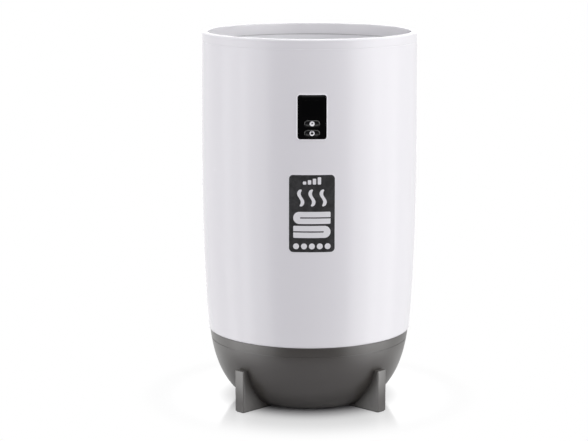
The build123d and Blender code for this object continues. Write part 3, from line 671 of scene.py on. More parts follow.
slots = [
    slot_loop(BUTTON_WIDTH + 2 * BUTTON_GAP, BUTTON_HEIGHT + 2 * BUTTON_GAP, height)
    for height in BUTTON_HEIGHTS.values()
]
panel = plate(
    rounded_loop(PANEL_WIDTH, PANEL_HEIGHT, PANEL_CORNER, PANEL_CENTRE) + slots[0] + slots[1],
    PANEL_PROUD, PANEL_PROUD + PANEL_RECESS, 0.00025,
)
pane_seat = (WINDOW_WIDTH + PANE_LAP + 2 * PANE_GAP, WINDOW_HEIGHT + PANE_LAP + 2 * PANE_GAP)
carve(panel, plate(rounded_loop(*pane_seat, 0.0025, WINDOW_CENTRE), 0.002, 0.002 + PANE_DEPTH - PANEL_PROUD))
carve(panel, plate(rounded_loop(WINDOW_WIDTH, WINDOW_HEIGHT, 0.0015, WINDOW_CENTRE), 0.002, 0.006))
smooth(panel)
panel.name = "black_panel"
finish_piece(panel, "housing", "panel_black", "panel_bezel")

pane = plate(
    rounded_loop(WINDOW_WIDTH + PANE_LAP, WINDOW_HEIGHT + PANE_LAP, 0.0024, WINDOW_CENTRE),
    PANEL_PROUD, PANE_DEPTH, 0.00004, 1,
)
smooth(pane)
pane.name = "window_pane"
finish_piece(pane, "housing", "window_black", "display_window")

# %% The two push buttons
# from the back of a cap to the middle of its dish: how far each ring is moved in, and how far it stands proud
CAP_RINGS = [
    (0.0, -0.0034), (0.0, 0.00035), (0.00015, 0.00065), (0.00045, 0.00090), (0.00090, 0.00105), (0.0013, 0.0011),
    (0.0017, 0.00105), (0.0022, 0.00085), (0.0028, 0.00070), (0.0034, 0.00065),
]
FLAT_STEPS = 12


def cap_form(height):
    """A cap, bridged from ring to ring. Each ring is the cap's slot outline, moved in and laid on the drum."""
    cap = None
    for inset, proud in CAP_RINGS:
        low = BUTTON_HEIGHT - 2 * inset
        outline = rounded_loop(BUTTON_WIDTH - 2 * inset, low, low / 2, height, 12)
        ring = draw([(points, FLAT_STEPS if steps == 1 else steps) for points, steps in outline])
        ring = lay_on_drum(clean(ring), proud)
        if cap:
            cap = gather(cap, ring)
        hold(cap or ring)
        bpy.ops.object.mode_set(mode="EDIT")
        bpy.ops.mesh.select_mode(type="EDGE")
        bpy.ops.mesh.select_all(action="DESELECT")
        bpy.ops.mesh.select_non_manifold()
        if cap:
            bpy.ops.mesh.bridge_edge_loops()
        else:
            bpy.ops.mesh.fill(use_beauty=True)
        bpy.ops.object.mode_set(mode="OBJECT")
        cap = cap or ring
    bpy.ops.object.mode_set(mode="EDIT")
    bpy.ops.mesh.select_all(action="DESELECT")
    bpy.ops.mesh.select_non_manifold()
    bpy.ops.mesh.fill(use_beauty=True)
    bpy.ops.object.mode_set(mode="OBJECT")
    return smooth(clean(cap), 40)


buttons = {}
for name, height in BUTTON_HEIGHTS.items():
    cap = cap_form(height)
    cap.name = name + "_cap"
    buttons[name] = finish_piece(cap, name + "_key", "button_black", name + "_button")

# %% [markdown]
# ## The sticker
# The sticker below the panel is a thin printed film. It stands only a few tenths of a millimetre proud, so its
# shape is a plate again, and everything that is printed on it is drawn by its finish further down.

# %% The sticker's film
LABEL_WIDTH, LABEL_HEIGHT, LABEL_CENTRE, LABEL_CORNER = 0.0631, 0.1068, 0.2888, 0.0064
LABEL_PROUD, LABEL_FILM = 0.0003, 0.00028
label = plate(
    rounded_loop(LABEL_WIDTH, LABEL_HEIGHT, LABEL_CORNER, LABEL_CENTRE, 12), LABEL_PROUD, LABEL_FILM, 0.00006, 2
)
smooth(label)
label.name = "printed_sticker"
finish_piece(label, "housing", "label_print", "front_label")

# %% [markdown]
# ## The cord gland
# At the rear of the bowl a moulded gland takes the mains cord. Its head tapers, and shallow flutes round it give a
# spanner or a thumb some grip. The flutes are cut by one rod that is copied round the head.

# %% Model the gland
GLAND_INNER_END, GLAND_BODY, GLAND_BORE = 0.112, 0.006, 0.0037
GLAND_HEAD, GLAND_HEAD_LENGTH, GLAND_TAPER = 0.0085, 0.008, radians(12)
FLUTES, FLUTE_RADIUS = 14, 0.0007

body_length = GLAND_SEAT - GLAND_INNER_END
gland = rod((0, GLAND_INNER_END + body_length / 2 + 0.0005, GLAND_HEIGHT), GLAND_BODY, body_length + 0.001, LEVEL)
bpy.ops.object.select_all(action="DESELECT")
bpy.ops.mesh.primitive_cone_add(
    vertices=72, radius1=GLAND_HEAD, radius2=GLAND_HEAD - GLAND_HEAD_LENGTH * tan(GLAND_TAPER),
    depth=GLAND_HEAD_LENGTH, location=(0, GLAND_SEAT + GLAND_HEAD_LENGTH / 2, GLAND_HEIGHT),
    rotation=(-pi / 2, 0, 0),
)
head = settle(bpy.context.object, "head")
work(head, "BEVEL", width=0.0007, segments=4, limit_method="ANGLE", angle_limit=radians(60))
flutes = []
for i in range(FLUTES):
    turned = 2 * pi * i / FLUTES
    flute_place = (GLAND_HEAD * sin(turned), GLAND_SEAT + 0.0045, GLAND_HEIGHT + GLAND_HEAD * cos(turned))
    flutes.append(rod(flute_place, FLUTE_RADIUS, 0.0058, LEVEL, 12))
carve(head, gather(*flutes))
carve(gland, head, "UNION")
carve(gland, rod((0, GLAND_SEAT, GLAND_HEIGHT), GLAND_BORE, 0.060, LEVEL))
smooth(gland)
gland.name = "cord_inlet"
finish_piece(gland, "housing", "black_plastic", "cord_gland")

# %% [markdown]
# ## Shader arithmetic
# A finish is a few nodes and some arithmetic between them. Written node by node, arithmetic is long and hard to
# read, so one small class wraps a socket and lets Python's own operators add the Math nodes. A finish then reads as
# its formula. Every other node comes from one method that takes its type, its settings and its inputs.


# %% Sockets with operators
class Signal:
    """What one socket puts out, with operators that add Math nodes."""

    def __init__(self, finish, socket):
        self.finish = finish
        self.socket = socket

    def math(self, operation, *values):
        inputs = dict(enumerate(values))
        return self.finish.node("ShaderNodeMath", {"operation": operation}, inputs)

    def __add__(self, other):
        return self.math("ADD", self, other)

    __radd__ = __add__

    def __sub__(self, other):
        return self.math("SUBTRACT", self, other)

    def __rsub__(self, other):
        return self.math("SUBTRACT", other, self)

    def __mul__(self, other):
        return self.math("MULTIPLY", self, other)

    __rmul__ = __mul__

    def __truediv__(self, other):
        return self.math("DIVIDE", self, other)

    def __pow__(self, other):
        return self.math("POWER", self, other)

    def __abs__(self):
        return self.math("ABSOLUTE", self)

    def most(self, other):
        """The larger of two."""
        return self.math("MAXIMUM", self, other)

    def sine(self):
        return self.math("SINE", self)

    def step(self, low, high):
        """0 below low, 1 above high, and smooth between them. Low may be the larger one."""
        return self.finish.node(
            "ShaderNodeMapRange", {"interpolation_type": "SMOOTHSTEP"},
            {"Value": self, "From Min": low, "From Max": high, "To Min": 0.0, "To Max": 1.0},
        )


class Nodes:
    """A node tree in the making."""

    def __init__(self, tree):
        self.tree = tree

    def node(self, kind, settings=None, inputs=None, output=0):
        """Adds a node, sets it and feeds its inputs, and returns one of its outputs."""
        made = self.tree.nodes.new(kind)
        for name, value in (settings or {}).items():
            setattr(made, name, value)
        for name, value in (inputs or {}).items():
            self.feed(made.inputs[name], value)
        return Signal(self, made.outputs[output])

    def feed(self, socket, value):
        """Puts a number, a colour or another node's output into a socket."""
        if isinstance(value, Signal):
            self.tree.links.new(value.socket, socket)
        elif isinstance(value, tuple) and socket.type == "RGBA":
            socket.default_value = (*value, 1)
        else:
            socket.default_value = value

    def mix(self, factor, first, second):
        """A colour between two colours."""
        return self.node("ShaderNodeMix", {"data_type": "RGBA"}, {0: factor, 6: first, 7: second}, output=2)

    def parts(self, vector):
        """The three parts of a vector."""
        split = self.node("ShaderNodeSeparateXYZ", None, {"Vector": vector}).socket.node
        return [Signal(self, split.outputs[i]) for i in range(3)]


class Finish(Nodes):
    """A material in the making: its nodes, its shader and where things are on the piece."""

    def __init__(self, name, color, roughness, **shader):
        self.material = bpy.data.materials.new(name)
        self.material.use_nodes = True
        self.material.diffuse_color = (*color, 1)
        super().__init__(self.material.node_tree)
        self.shader = self.tree.nodes["Principled BSDF"]
        self.set(Base_Color=color, Roughness=roughness, **shader)
        self.place = self.node("ShaderNodeTexCoord", output="Object")

    def set(self, **sockets):
        """Feeds the shader's own sockets, such as Base_Color or Roughness."""
        for name, value in sockets.items():
            self.feed(self.shader.inputs[name.replace("_", " ")], value)
        return self

    def noise(self, scale, detail=2.0, roughness=0.5, place=None):
        """Cloudy noise with about this many clouds to the metre."""
        return self.node(
            "ShaderNodeTexNoise", None,
            {"Vector": place or self.place, "Scale": scale, "Detail": detail, "Roughness": roughness},
        )

    def stretched(self, *scales):
        """The place on the piece, scaled apart along each axis, for streaks and tool marks."""
        return self.node("ShaderNodeMapping", None, {"Vector": self.place, "Scale": scales})

    def bump(self, height, distance, strength=1.0):
        """Turns a height, in units of distance, into a bent normal on the shader."""
        made = self.node("ShaderNodeBump", None, {"Height": height, "Distance": distance, "Strength": strength})
        return self.set(Normal=made)

    def axes(self):
        """Where a point is on the piece: across, along and up, each in metres."""
        return self.parts(self.place)


def wear(material, *pieces):
    """Gives pieces this material and no other."""
    for piece in pieces:
        if not piece.material_slots:
            piece.data.materials.append(material)
        for slot in piece.material_slots:
            slot.material = material


# %% [markdown]
# ## Printed shapes
# A printed mark is a shape with a sharp edge, and a shape is a distance: how far is this point outside it? Where the
# distance is below zero there is ink. The functions here give such distances for a bar with round corners and for a
# ring, and ink turns one into a mask whose edge is as soft as print is. No picture is needed, and the print stays
# sharp however near the camera comes. The same masks tell one part of a moulding from the rest of it.

# %% Distances to shapes
INK_EDGE = 0.00010


def root(value):
    """The square root of a signal."""
    return value ** 0.5


def bar_distance(x, z, centre, size, corner):
    """How far a point is outside a bar with round corners."""
    out_x = (abs(x - centre[0]) - (size[0] / 2 - corner)).most(0.0)
    out_z = (abs(z - centre[1]) - (size[1] / 2 - corner)).most(0.0)
    return root(out_x * out_x + out_z * out_z) - corner


def ring_distance(x, z, centre, radius, half_width):
    """How far a point is outside a ring. A disc is a ring whose half width is its radius."""
    off_x, off_z = x - centre[0], z - centre[1]
    return abs(root(off_x * off_x + off_z * off_z) - radius) - half_width


def ink(distance):
    """1 on the shape, 0 off it."""
    return distance.step(INK_EDGE, -INK_EDGE)


# %% [markdown]
# ## White moulding
# The drum and the ring are glossy ABS, moulded in a polished tool. Such a skin is never quite flat: it has slow,
# shallow waves that bend the reflections a little. A very low bump with clouds of a few centimetres gives them. The
# gloss varies a little where hands have wiped it, and the white is a shade warmer in some places than in others. The
# bead round the panel carries a painted highlight: its colour is a brighter white, the whitest line of the drum.

# %% Gloss white
white = Finish("gloss_white", (0.86, 0.857, 0.863), 0.24, IOR=1.49)
handled = white.noise(11, 3.0)
x, y, z = white.axes()
bead_corner = PANEL_CORNER + PANEL_GAP + BEAD_WIDTH
# painted highlight: the bead round the panel is coloured a brighter white on the drum's front, so it shows as a pale
# lit line
painted_bead_highlight = ink(bar_distance(x, z, (0, PANEL_CENTRE), bead_size, bead_corner)) * y.step(-0.10, -0.12)
shades = white.mix(white.noise(7, 2.0), (0.868, 0.863, 0.872), (0.852, 0.846, 0.853))
# the base colour carries the bead's painted highlight
white.set(
    Base_Color=white.mix(painted_bead_highlight, shades, (0.975, 0.972, 0.978)),
    Roughness=0.19 + 0.09 * handled + 0.03 * white.noise(900, 2.0),
)
white.bump(white.noise(45, 1.0) + 0.02 * white.noise(1600, 2.0), 0.00006)
wear(white.material, drum, rim)

# %% [markdown]
# ## Grey moulding
# The bowl and its fins come from a tool with a fine spark-eroded grain, which turns the gloss into a broad sheen.
# The grain is a bump with cells of a third of a millimetre. Grey plastic also shows rubbed, paler patches where it
# is handled or set down, so the colour and the gloss change a little near the feet.

# %% Satin grey
GRAIN = 3000                    # cells to the metre
RUBBED_BELOW = 0.030

grey = Finish("satin_grey", (0.047, 0.042, 0.036), 0.32, IOR=2.0)
across, along_y, height = grey.axes()
clouds = grey.noise(28, 4.0, 0.6)
specks = grey.noise(1400, 2.0)
rubbed = height.step(RUBBED_BELOW, 0.0) * clouds.step(0.50, 0.72)
plain_grey = grey.mix(clouds, (0.043, 0.038, 0.032), (0.051, 0.046, 0.040))
speckled = grey.mix(specks.step(0.60, 0.75) * 0.35, plain_grey, (0.070, 0.068, 0.063))
grey.set(
    Base_Color=grey.mix(rubbed * 0.5, speckled, (0.088, 0.085, 0.079)),
    Roughness=0.27 + 0.08 * clouds + 0.05 * specks - 0.04 * rubbed,
)
grey.bump(grey.noise(GRAIN, 2.0), 0.00004, 0.35)
wear(grey.material, bowl, *legs)

# %% [markdown]
# ## Coated metal inside
# The bucket is drawn from aluminium sheet and sprayed with a pale satin coat. Spray leaves a soft pebbled skin, and
# towels that slide up and down polish faint upright streaks into it, so the noise is stretched along Z.

# %% Sprayed aluminium
coat = Finish("bucket_coat", (0.93, 0.93, 0.935), 0.40, IOR=1.5)
streaks = coat.noise(1.0, 3.0, 0.5, coat.stretched(60, 60, 2.5))
coat.set(
    Base_Color=coat.mix(streaks, (0.915, 0.915, 0.92), (0.945, 0.945, 0.95)),
    Roughness=0.34 + 0.16 * streaks,
)
coat.bump(coat.noise(500, 2.0), 0.00003, 0.5)
wear(coat.material, bucket)

# %% [markdown]
# ## Black panel, window and buttons
# The panel is polished black acrylic. What shows on it is not its colour but what it mirrors, so its finish is a
# deep black with a low roughness, broken by dust that is too fine to see one by one and by faint wiping marks. The
# window is smoother still. The buttons are a shade softer, because fingertips dull them, most of all in the dish.

# %% Black acrylic
def polished_black(name, color, roughness, smears):
    """Deep black with fine wiping marks, which lie across the piece as a cloth leaves them."""
    black = Finish(name, color, roughness, IOR=1.28)
    marks = black.noise(1.0, 4.0, 0.6, black.stretched(90, 90, 420)).step(0.45, 0.75)
    dust = black.noise(2600, 1.0).step(0.68, 0.80)
    black.set(
        Base_Color=black.mix(dust * 0.12, color, (0.03, 0.03, 0.031)),
        Roughness=roughness + smears * marks + 0.15 * dust,
    )
    black.bump(black.noise(120, 1.0), 0.00002)
    return black


wear(polished_black("panel_acrylic", (0.0012, 0.0012, 0.0014), 0.10, 0.05).material, panel)
wear(polished_black("window_acrylic", (0.0008, 0.0009, 0.0011), 0.04, 0.03).material, pane)

# %% [markdown]
# ## Button icons
# Each button carries a plain white sign in its dish: a clock face for the timer, and a ring with a stroke for the
# power. They are a few millimetres across, and their ink is printed on the cap, so they go down with it.

# %% Print the two icons
ICON_RADIUS = 0.0033
CLOCK_HAND, CLOCK_HUB = 0.0006, 0.00085
POWER_RING, POWER_STROKE = 0.00145, 0.0007
INK_WHITE = (0.94, 0.945, 0.95)


def clock_icon(x, z, height):
    """A filled clock face with two dark hands."""
    face = ink(ring_distance(x, z, (0, height), 0.0, ICON_RADIUS))
    hub = ink(ring_distance(x, z, (0, height), 0.0, CLOCK_HUB))
    long_hand = ink(bar_distance(x, z, (0, height + 0.0010), (CLOCK_HAND, 0.0022), 0.0002))
    short_hand = ink(bar_distance(x, z, (0.0007, height), (0.0015, CLOCK_HAND), 0.0002))
    return face * (1 - hub.most(long_hand).most(short_hand))


def power_icon(x, z, height):
    """A thick ring, open at the top, with an upright stroke in the gap."""
    middle = ICON_RADIUS - POWER_RING / 2
    ring = ink(ring_distance(x, z, (0, height), middle, POWER_RING / 2))
    gap = ink(bar_distance(x, z, (0, height + ICON_RADIUS - 0.0004), (0.0016, 0.0030), 0.0002))
    stroke = ink(bar_distance(x, z, (0, height + 0.0021), (POWER_STROKE, 0.0030), 0.0003))
    return (ring * (1 - gap)).most(stroke)


for name, icon in (("timer", clock_icon), ("power", power_icon)):
    black = Finish(name + "_cap_black", (0.003, 0.003, 0.0033), 0.14, IOR=1.6)
    x, y, z = black.axes()
    printed = icon(x, z, BUTTON_HEIGHTS[name])
    touched = ink(bar_distance(x, z, (0, BUTTON_HEIGHTS[name]), (0.016, 0.006), 0.003))
    haze = black.noise(260, 3.0)
    black.set(
        Base_Color=black.mix(printed, (0.003, 0.003, 0.0033), INK_WHITE),
        Roughness=0.10 + 0.08 * haze + 0.06 * touched * haze + 0.20 * printed,
    )
    black.bump(haze + printed * 0.5, 0.00002)
    wear(black.material, buttons[name])

# %% [markdown]
# ## The sticker's print
# The sticker is a charcoal film with a thin pale cut edge and bold white signs: level bars at the top, two folded
# towels under rising warm air in the middle, and a row of dots below. The charcoal is printed as a screen of faint
# clouds, so it is not one flat tone. The white ink lies on top and is a touch glossier than the film.

# %% Layout of the sticker
FILM_EDGE = 0.0009
STACK_WIDTH, TOWEL_HEIGHT, STACK_GAP = 0.0500, 0.0165, 0.0026
STACK_BASE = LABEL_CENTRE - 0.0330
FOLD_LINE = 0.0017
WAVE_WIDTH, WAVE_HEIGHT, WAVE_SWING, WAVE_PITCH = 0.0048, 0.0230, 0.0024, 0.0150
WAVE_BASE = LABEL_CENTRE + 0.0100
LEVEL_CENTRE, LEVEL_PITCH, LEVEL_WIDTH = LABEL_CENTRE + 0.0446, 0.0066, 0.0046
DOT_CENTRE, DOT_PITCH, DOT_RADIUS = LABEL_CENTRE - 0.0445, 0.0106, 0.0040


def towel_print(x, z, base, turned):
    """One folded towel from its side: a slab with a round fold at one end, and the line where it is folded."""
    middle = base + TOWEL_HEIGHT / 2
    slab = ink(bar_distance(x, z, (0, middle), (STACK_WIDTH, TOWEL_HEIGHT), TOWEL_HEIGHT / 2 - 1e-4))
    square_end = ink(bar_distance(
        x, z, (-turned * STACK_WIDTH / 4, middle), (STACK_WIDTH / 2, TOWEL_HEIGHT), 0.0015))
    crease = ink(bar_distance(
        x, z, (-turned * 0.006, middle), (STACK_WIDTH - 0.006, FOLD_LINE), FOLD_LINE / 2 - 1e-5))
    return slab.most(square_end) * (1 - crease)


def wave_print(x, z, centre):
    """One stroke of rising air, which swings to and fro as it goes up."""
    swing = ((z - WAVE_BASE) * (2 * pi / WAVE_HEIGHT)).sine() * WAVE_SWING
    middle = WAVE_BASE + WAVE_HEIGHT / 2
    return ink(bar_distance(x - swing, z, (centre, middle), (WAVE_WIDTH, WAVE_HEIGHT), WAVE_WIDTH / 2 - 1e-5))


# %% Print the sticker
film = Finish("sticker_film", (0.022, 0.022, 0.023), 0.42, IOR=1.46)
x, y, z = film.axes()
signs = [
    towel_print(x, z, STACK_BASE, 1),
    towel_print(x, z, STACK_BASE + TOWEL_HEIGHT + STACK_GAP, -1),
]
signs += [wave_print(x, z, (i - 1) * WAVE_PITCH) for i in range(3)]
for i in range(4):
    level = 0.0042 + 0.0019 * i
    signs.append(ink(bar_distance(
        x, z, ((i - 1.5) * LEVEL_PITCH, LEVEL_CENTRE - 0.0050 + level / 2), (LEVEL_WIDTH, level), 0.0012)))
signs += [ink(ring_distance(x, z, ((i - 2) * DOT_PITCH, DOT_CENTRE), 0.0, DOT_RADIUS)) for i in range(5)]
printed = signs[0]
for sign in signs[1:]:
    printed = printed.most(sign)
inside = ink(bar_distance(
    x, z, (0, LABEL_CENTRE), (LABEL_WIDTH - 2 * FILM_EDGE, LABEL_HEIGHT - 2 * FILM_EDGE), LABEL_CORNER - FILM_EDGE))
clouds = film.noise(95, 5.0, 0.65)
charcoal = film.mix(clouds.step(0.35, 0.72), (0.013, 0.013, 0.0135), (0.040, 0.040, 0.041))
fleck = film.noise(1500, 2.0)
film.set(
    Base_Color=film.mix(printed.most(1 - inside), charcoal, (0.84, 0.84, 0.845)),
    Roughness=0.40 + 0.12 * fleck - 0.08 * printed,
)
film.bump(fleck * 0.3 + printed, 0.00002)
wear(film.material, label)

# %% [markdown]
# ## Rubber, seals and plain black plastic
# The strips under the fins, the seals and the gland are dark and matt. What sets them apart is their skin: rubber
# has a soft pebbled face and a trace of dust, silicone is smoother, and the glass-filled nylon of the gland has a
# fine pebbled grain.

# %% Dark matt finishes
def dark_skin(name, color, roughness, grain, depth, dusty=0.25):
    """A dark soft skin with a pebbled bump, and dust that settles in clouds."""
    skin = Finish(name, color, roughness, IOR=1.5)
    clouds = skin.noise(70, 4.0, 0.6)
    pale = tuple(min(1.0, 2.4 * part + 0.012) for part in color)
    skin.set(
        Base_Color=skin.mix(clouds.step(0.45, 0.8) * dusty, color, pale),
        Roughness=roughness - 0.06 + 0.12 * skin.noise(grain / 4, 2.0),
    )
    skin.bump(skin.noise(grain, 2.0), depth, 0.6)
    return skin.material


finishes = {
    "pad_rubber": dark_skin("pad_rubber", (0.014, 0.014, 0.014), 0.80, 2200, 0.00006, 0.5),
    "seal_silicone": dark_skin("seal_silicone", (0.030, 0.030, 0.031), 0.55, 3000, 0.00002),
    "black_plastic": dark_skin("black_plastic", (0.018, 0.018, 0.0185), 0.46, 2600, 0.00004),
    "support_plastic": dark_skin("support_plastic", (0.12, 0.12, 0.12), 0.52, 2400, 0.00004),
}
pale_seal = dark_skin("pale_seal", (0.60, 0.60, 0.60), 0.50, 3000, 0.00002)
wear(finishes["pad_rubber"], *pads)
wear(finishes["black_plastic"], gland)

# %% [markdown]
# ## Metals
# Screws are zinc plated, with a slightly cloudy bluish face. Brass standoffs are turned, so fine rings run round
# them. The foil heater is creased aluminium. One function makes them all: a metallic shader whose noise is stretched
# along the tool marks, with tarnish in the clouds.

# %% Metal finishes
def bare_metal(name, color, roughness, marks, tarnish, depth=0.00002):
    """Bare metal: marks gives the scale of the tool marks along each axis."""
    metal = Finish(name, color, roughness, Metallic=1.0)
    lines = metal.noise(1.0, 3.0, 0.6, metal.stretched(*marks))
    clouds = metal.noise(120, 3.0)
    dull = tuple(part * tarnish for part in color)
    metal.set(
        Base_Color=metal.mix(clouds.step(0.4, 0.75), color, dull),
        Roughness=roughness - 0.08 + 0.16 * lines + 0.08 * clouds,
    )
    metal.bump(lines, depth, 0.5)
    return metal.material


finishes["screw_steel"] = bare_metal("zinc_plate", (0.60, 0.61, 0.63), 0.34, (900, 900, 900), 0.86)
finishes["standoff_brass"] = bare_metal("turned_brass", (0.78, 0.58, 0.28), 0.26, (30, 30, 5000), 0.85)
finishes["foil"] = bare_metal("heater_foil", (0.82, 0.82, 0.83), 0.30, (55, 55, 55), 0.94, 0.0009)
finishes["transformer_iron"] = bare_metal("varnished_iron", (0.24, 0.23, 0.22), 0.42, (20, 20, 2600), 0.7)

# %% [markdown]
# ## Small parts inside
# The electronics are small and mostly hidden, but each still has the skin of its kind: a board under green solder
# mask with traces that run square to each other, moulded cases with a fine grain, drawn wire insulation and felt
# with tangled fibres.

# %% Finishes of the small parts
def moulded_case(name, color, roughness=0.36):
    """A small moulded case: clean colour, fine grain, and clouds a little paler."""
    case = Finish(name, color, roughness, IOR=1.5)
    clouds = case.noise(160, 3.0)
    pale = tuple(min(1.0, 1.12 * part + 0.01) for part in color)
    case.set(Base_Color=case.mix(clouds, color, pale), Roughness=roughness - 0.05 + 0.1 * clouds)
    case.bump(case.noise(4000, 2.0), 0.00002, 0.4)
    return case.material


def solder_mask():
    """Green solder mask over copper traces, which show as paler bands in two directions."""
    board = Finish("solder_mask", (0.010, 0.085, 0.032), 0.28)
    cells = board.node(
        "ShaderNodeTexVoronoi", {"feature": "F1", "distance": "MANHATTAN"}, {"Vector": board.place, "Scale": 260.0}
    )
    trace = cells.step(0.42, 0.36)
    board.set(
        Base_Color=board.mix(trace, (0.008, 0.070, 0.026), (0.020, 0.150, 0.055)),
        Roughness=0.24 + 0.12 * board.noise(300, 2.0),
    )
    board.bump(trace, 0.00003, 0.6)
    return board.material


def needled_felt():
    """Felt: tangled fibres, drawn as noise that is itself pushed about by noise."""
    felt = Finish("needled_felt", (0.60, 0.58, 0.54), 0.95, Sheen_Weight=0.3)
    tangled = felt.node("ShaderNodeTexNoise", None, {
        "Vector": felt.place, "Scale": 900.0, "Detail": 4.0, "Roughness": 0.7, "Distortion": 3.0})
    felt.set(Base_Color=felt.mix(tangled, (0.46, 0.44, 0.40), (0.70, 0.68, 0.64)), Roughness=0.85 + 0.1 * tangled)
    felt.bump(tangled, 0.0004)
    return felt.material


finishes["felt"] = needled_felt()
finishes["board_green"] = solder_mask()
for slot, color in {
    "relay_blue": (0.03, 0.11, 0.38), "capacitor_yellow": (0.72, 0.50, 0.06), "wire_white": (0.70, 0.70, 0.68),
    "wire_green": (0.05, 0.26, 0.07), "terminal_green": (0.03, 0.24, 0.09),
}.items():
    finishes[slot] = moulded_case(slot, color)

# %% [markdown]
# ## Dressing the solid pieces
# Every solid piece that stays as it is gets the finish of its kind. The record names that kind for each piece, so
# one loop dresses them all.

# %% Dress what the frame brought
finishes.update({"shell_white": white.material, "base_grey": grey.material, "liner_coat": coat.material})
slot_of = {part["node"]: part["material_slot"] for part in frame["record"]["subparts"]}
carried = [name for name, piece in nodes.items() if not piece.hide_render]
for name in carried:
    wear(finishes[slot_of[name]], nodes[name])
wear(pale_seal, nodes["rim_gasket"])
print(len(carried), "solid pieces dressed:", ", ".join(carried))

# %% [markdown]
# ## Table and air
# The piece stands on a plain pale round table in a white studio. A white background could be had by lighting it until
# it burns out, but that light would spill on the piece. Light Path keeps the two apart: what the camera sees directly
# is plain white, while the table near the piece keeps its own shading, so the contact shadow stays. A polished layer
# over it gives the soft mirror image of the bowl, which fades with the distance from the piece. What gloss mirrors is
# white above the table's level and dim below it, as in a studio with white walls and a dark floor.

# %% Table
TABLE_RADIUS = 0.27
TABLE_TONE = 0.55
SHADED, CLEARING, WHITE = 0.085, 0.150, 0.250
MIRROR_NEAR, MIRROR_FAR = 0.130, 0.230
MIRROR_BLUR, MIRROR_IOR = 0.12, 1.45

bpy.ops.object.select_all(action="DESELECT")
bpy.ops.mesh.primitive_circle_add(vertices=96, radius=TABLE_RADIUS, fill_type="NGON", location=(0, 0, 0))
table = bpy.context.object
table.name = "studio_table"
top = Finish("studio_table", (TABLE_TONE,) * 3, 0.6)
top.set(Specular_IOR_Level=0.0)
x, y, z = top.axes()
away = root(x * x + y * y)
whitened = away.step(SHADED, CLEARING) * 0.8 + away.step(CLEARING, WHITE) * 0.2
mirrored = top.node("ShaderNodeLightPath", output="Is Glossy Ray")
seen = top.node("ShaderNodeLightPath", output="Is Camera Ray").most(mirrored * y.step(-0.12, 0.10))
paper = top.node("ShaderNodeEmission", None, {"Color": (1.0, 1.0, 1.0), "Strength": 1.0})
shaded = Signal(top, top.shader.outputs[0])
surface = top.node("ShaderNodeMixShader", None, {0: whitened * seen, 1: shaded, 2: paper})
mirror = top.node("ShaderNodeBsdfAnisotropic", None, {"Color": (1.0, 1.0, 1.0), "Roughness": MIRROR_BLUR})
polish = top.node("ShaderNodeFresnel", None, {"IOR": MIRROR_IOR}) * away.step(MIRROR_FAR, MIRROR_NEAR)
surface = top.node("ShaderNodeMixShader", None, {0: polish, 1: surface, 2: mirror})
top.feed(top.tree.nodes["Material Output"].inputs["Surface"], surface)
wear(top.material, table)

# %% Air
AMBIENT, AMBIENT_TINT = 0.23, (1.0, 0.95, 1.12)
DIM_IN_FRONT, GLOW_LEFT, GLOW_RIGHT = 0.10, 0.93, 0.70

world = bpy.data.worlds.new("studio_air")
bpy.context.scene.world = world
world.use_nodes = True
air = Nodes(world.node_tree)
x, y, z = air.parts(air.node("ShaderNodeTexCoord", output="Generated"))
seen = air.node("ShaderNodeLightPath", output="Is Camera Ray")
mirrored = air.node("ShaderNodeLightPath", output="Is Glossy Ray")
passed = air.node("ShaderNodeLightPath", output="Is Transmission Ray")
behind = y.step(-0.35, 0.35)
right = x.step(-0.4, 0.4)
floor = behind * (1 - right) * GLOW_LEFT + behind * right * GLOW_RIGHT + DIM_IN_FRONT
walls = z.step(-0.03, 0.03).most(floor)
backdrop = seen.most(mirrored.most(passed) * walls)
shown = seen.most(mirrored).most(passed)
background = world.node_tree.nodes["Background"]
air.feed(background.inputs["Color"], air.mix(shown, AMBIENT_TINT, (1.0, 1.0, 1.0)))
air.feed(background.inputs["Strength"], backdrop + (1 - shown) * AMBIENT)

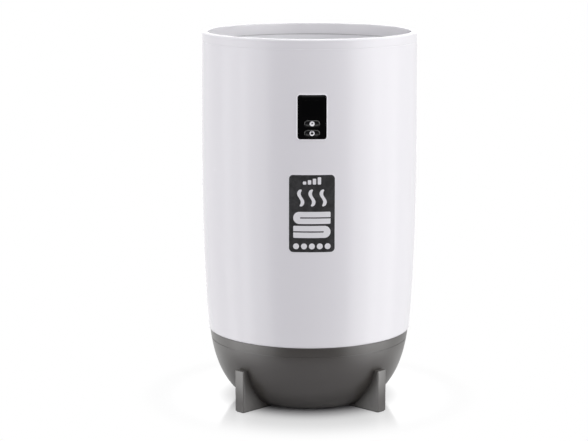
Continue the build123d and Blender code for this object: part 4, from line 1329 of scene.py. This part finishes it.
# %% [markdown]
# ## Light
# Tall soft boxes stand at both sides, in pairs, so that the light wraps round. One more looks over the right shoulder
# of the camera, and the drum is bright at both edges and a shade darker left of its middle. That roll of tone is what
# makes a white drum read as round. The boxes reach below the table's level, because an upright wall seen from a little
# above mirrors what is lower than it. A weaker box overhead lights the table and the mouth of the drum, and one at
# the rear keeps the back from going dull.

# %% Soft boxes
AIM = Vector((0, 0, 0.20))
LAMP_DISTANCE, LAMP_WIDTH, LAMP_HEIGHT = 2.6, 1.6, 2.8


def softbox(name, azimuth, elevation, power, height=LAMP_HEIGHT):
    """A soft lamp that stands in this direction from the object and faces it. Azimuth 0 is the front."""
    a, e = radians(azimuth), radians(elevation)
    place = Vector((sin(a) * cos(e), -cos(a) * cos(e), sin(e))) * LAMP_DISTANCE + AIM
    bpy.ops.object.select_all(action="DESELECT")
    bpy.ops.object.light_add(type="AREA", location=place)
    lamp = bpy.context.object
    lamp.name = name
    lamp.rotation_euler = (AIM - place).to_track_quat("-Z", "Y").to_euler()
    lamp.data.shape = "RECTANGLE"
    lamp.data.size, lamp.data.size_y = LAMP_WIDTH, height
    lamp.data.energy = power
    return lamp


softbox("right_front_box", 60, 0, 28)
softbox("right_box", 85, 0, 21)
softbox("shoulder_box", 50, 32, 14)
softbox("left_front_box", -60, 0, 25)
softbox("left_box", -85, 0, 20.5)
softbox("rear_box", 180, 10, 14)
softbox("top_box", 0, 86, 30, LAMP_WIDTH)

# %% [markdown]
# ## Camera
# The camera stands 2.7 m in front of the axis and 0.73 m up, and looks down by ten degrees, with a long lens: its
# focal length is 1917 pixels of a picture that is 588 wide.

# %% Camera
CAMERA_PLACE = (-0.0680, -2.6729, 0.7334)
CAMERA_PITCH = radians(10.193)
CAMERA_HEADING = radians(-1.0)
SENSOR = 36.0
FOCAL_PIXELS, PICTURE_WIDTH = 1917, 588
bpy.ops.object.select_all(action="DESELECT")
bpy.ops.object.camera_add(location=CAMERA_PLACE, rotation=(pi / 2 - CAMERA_PITCH, 0, CAMERA_HEADING))
camera = bpy.context.object
camera.data.sensor_width = SENSOR
camera.data.lens = FOCAL_PIXELS * SENSOR / PICTURE_WIDTH
bpy.context.scene.camera = camera
bpy.context.scene.view_settings.view_transform = "Standard"
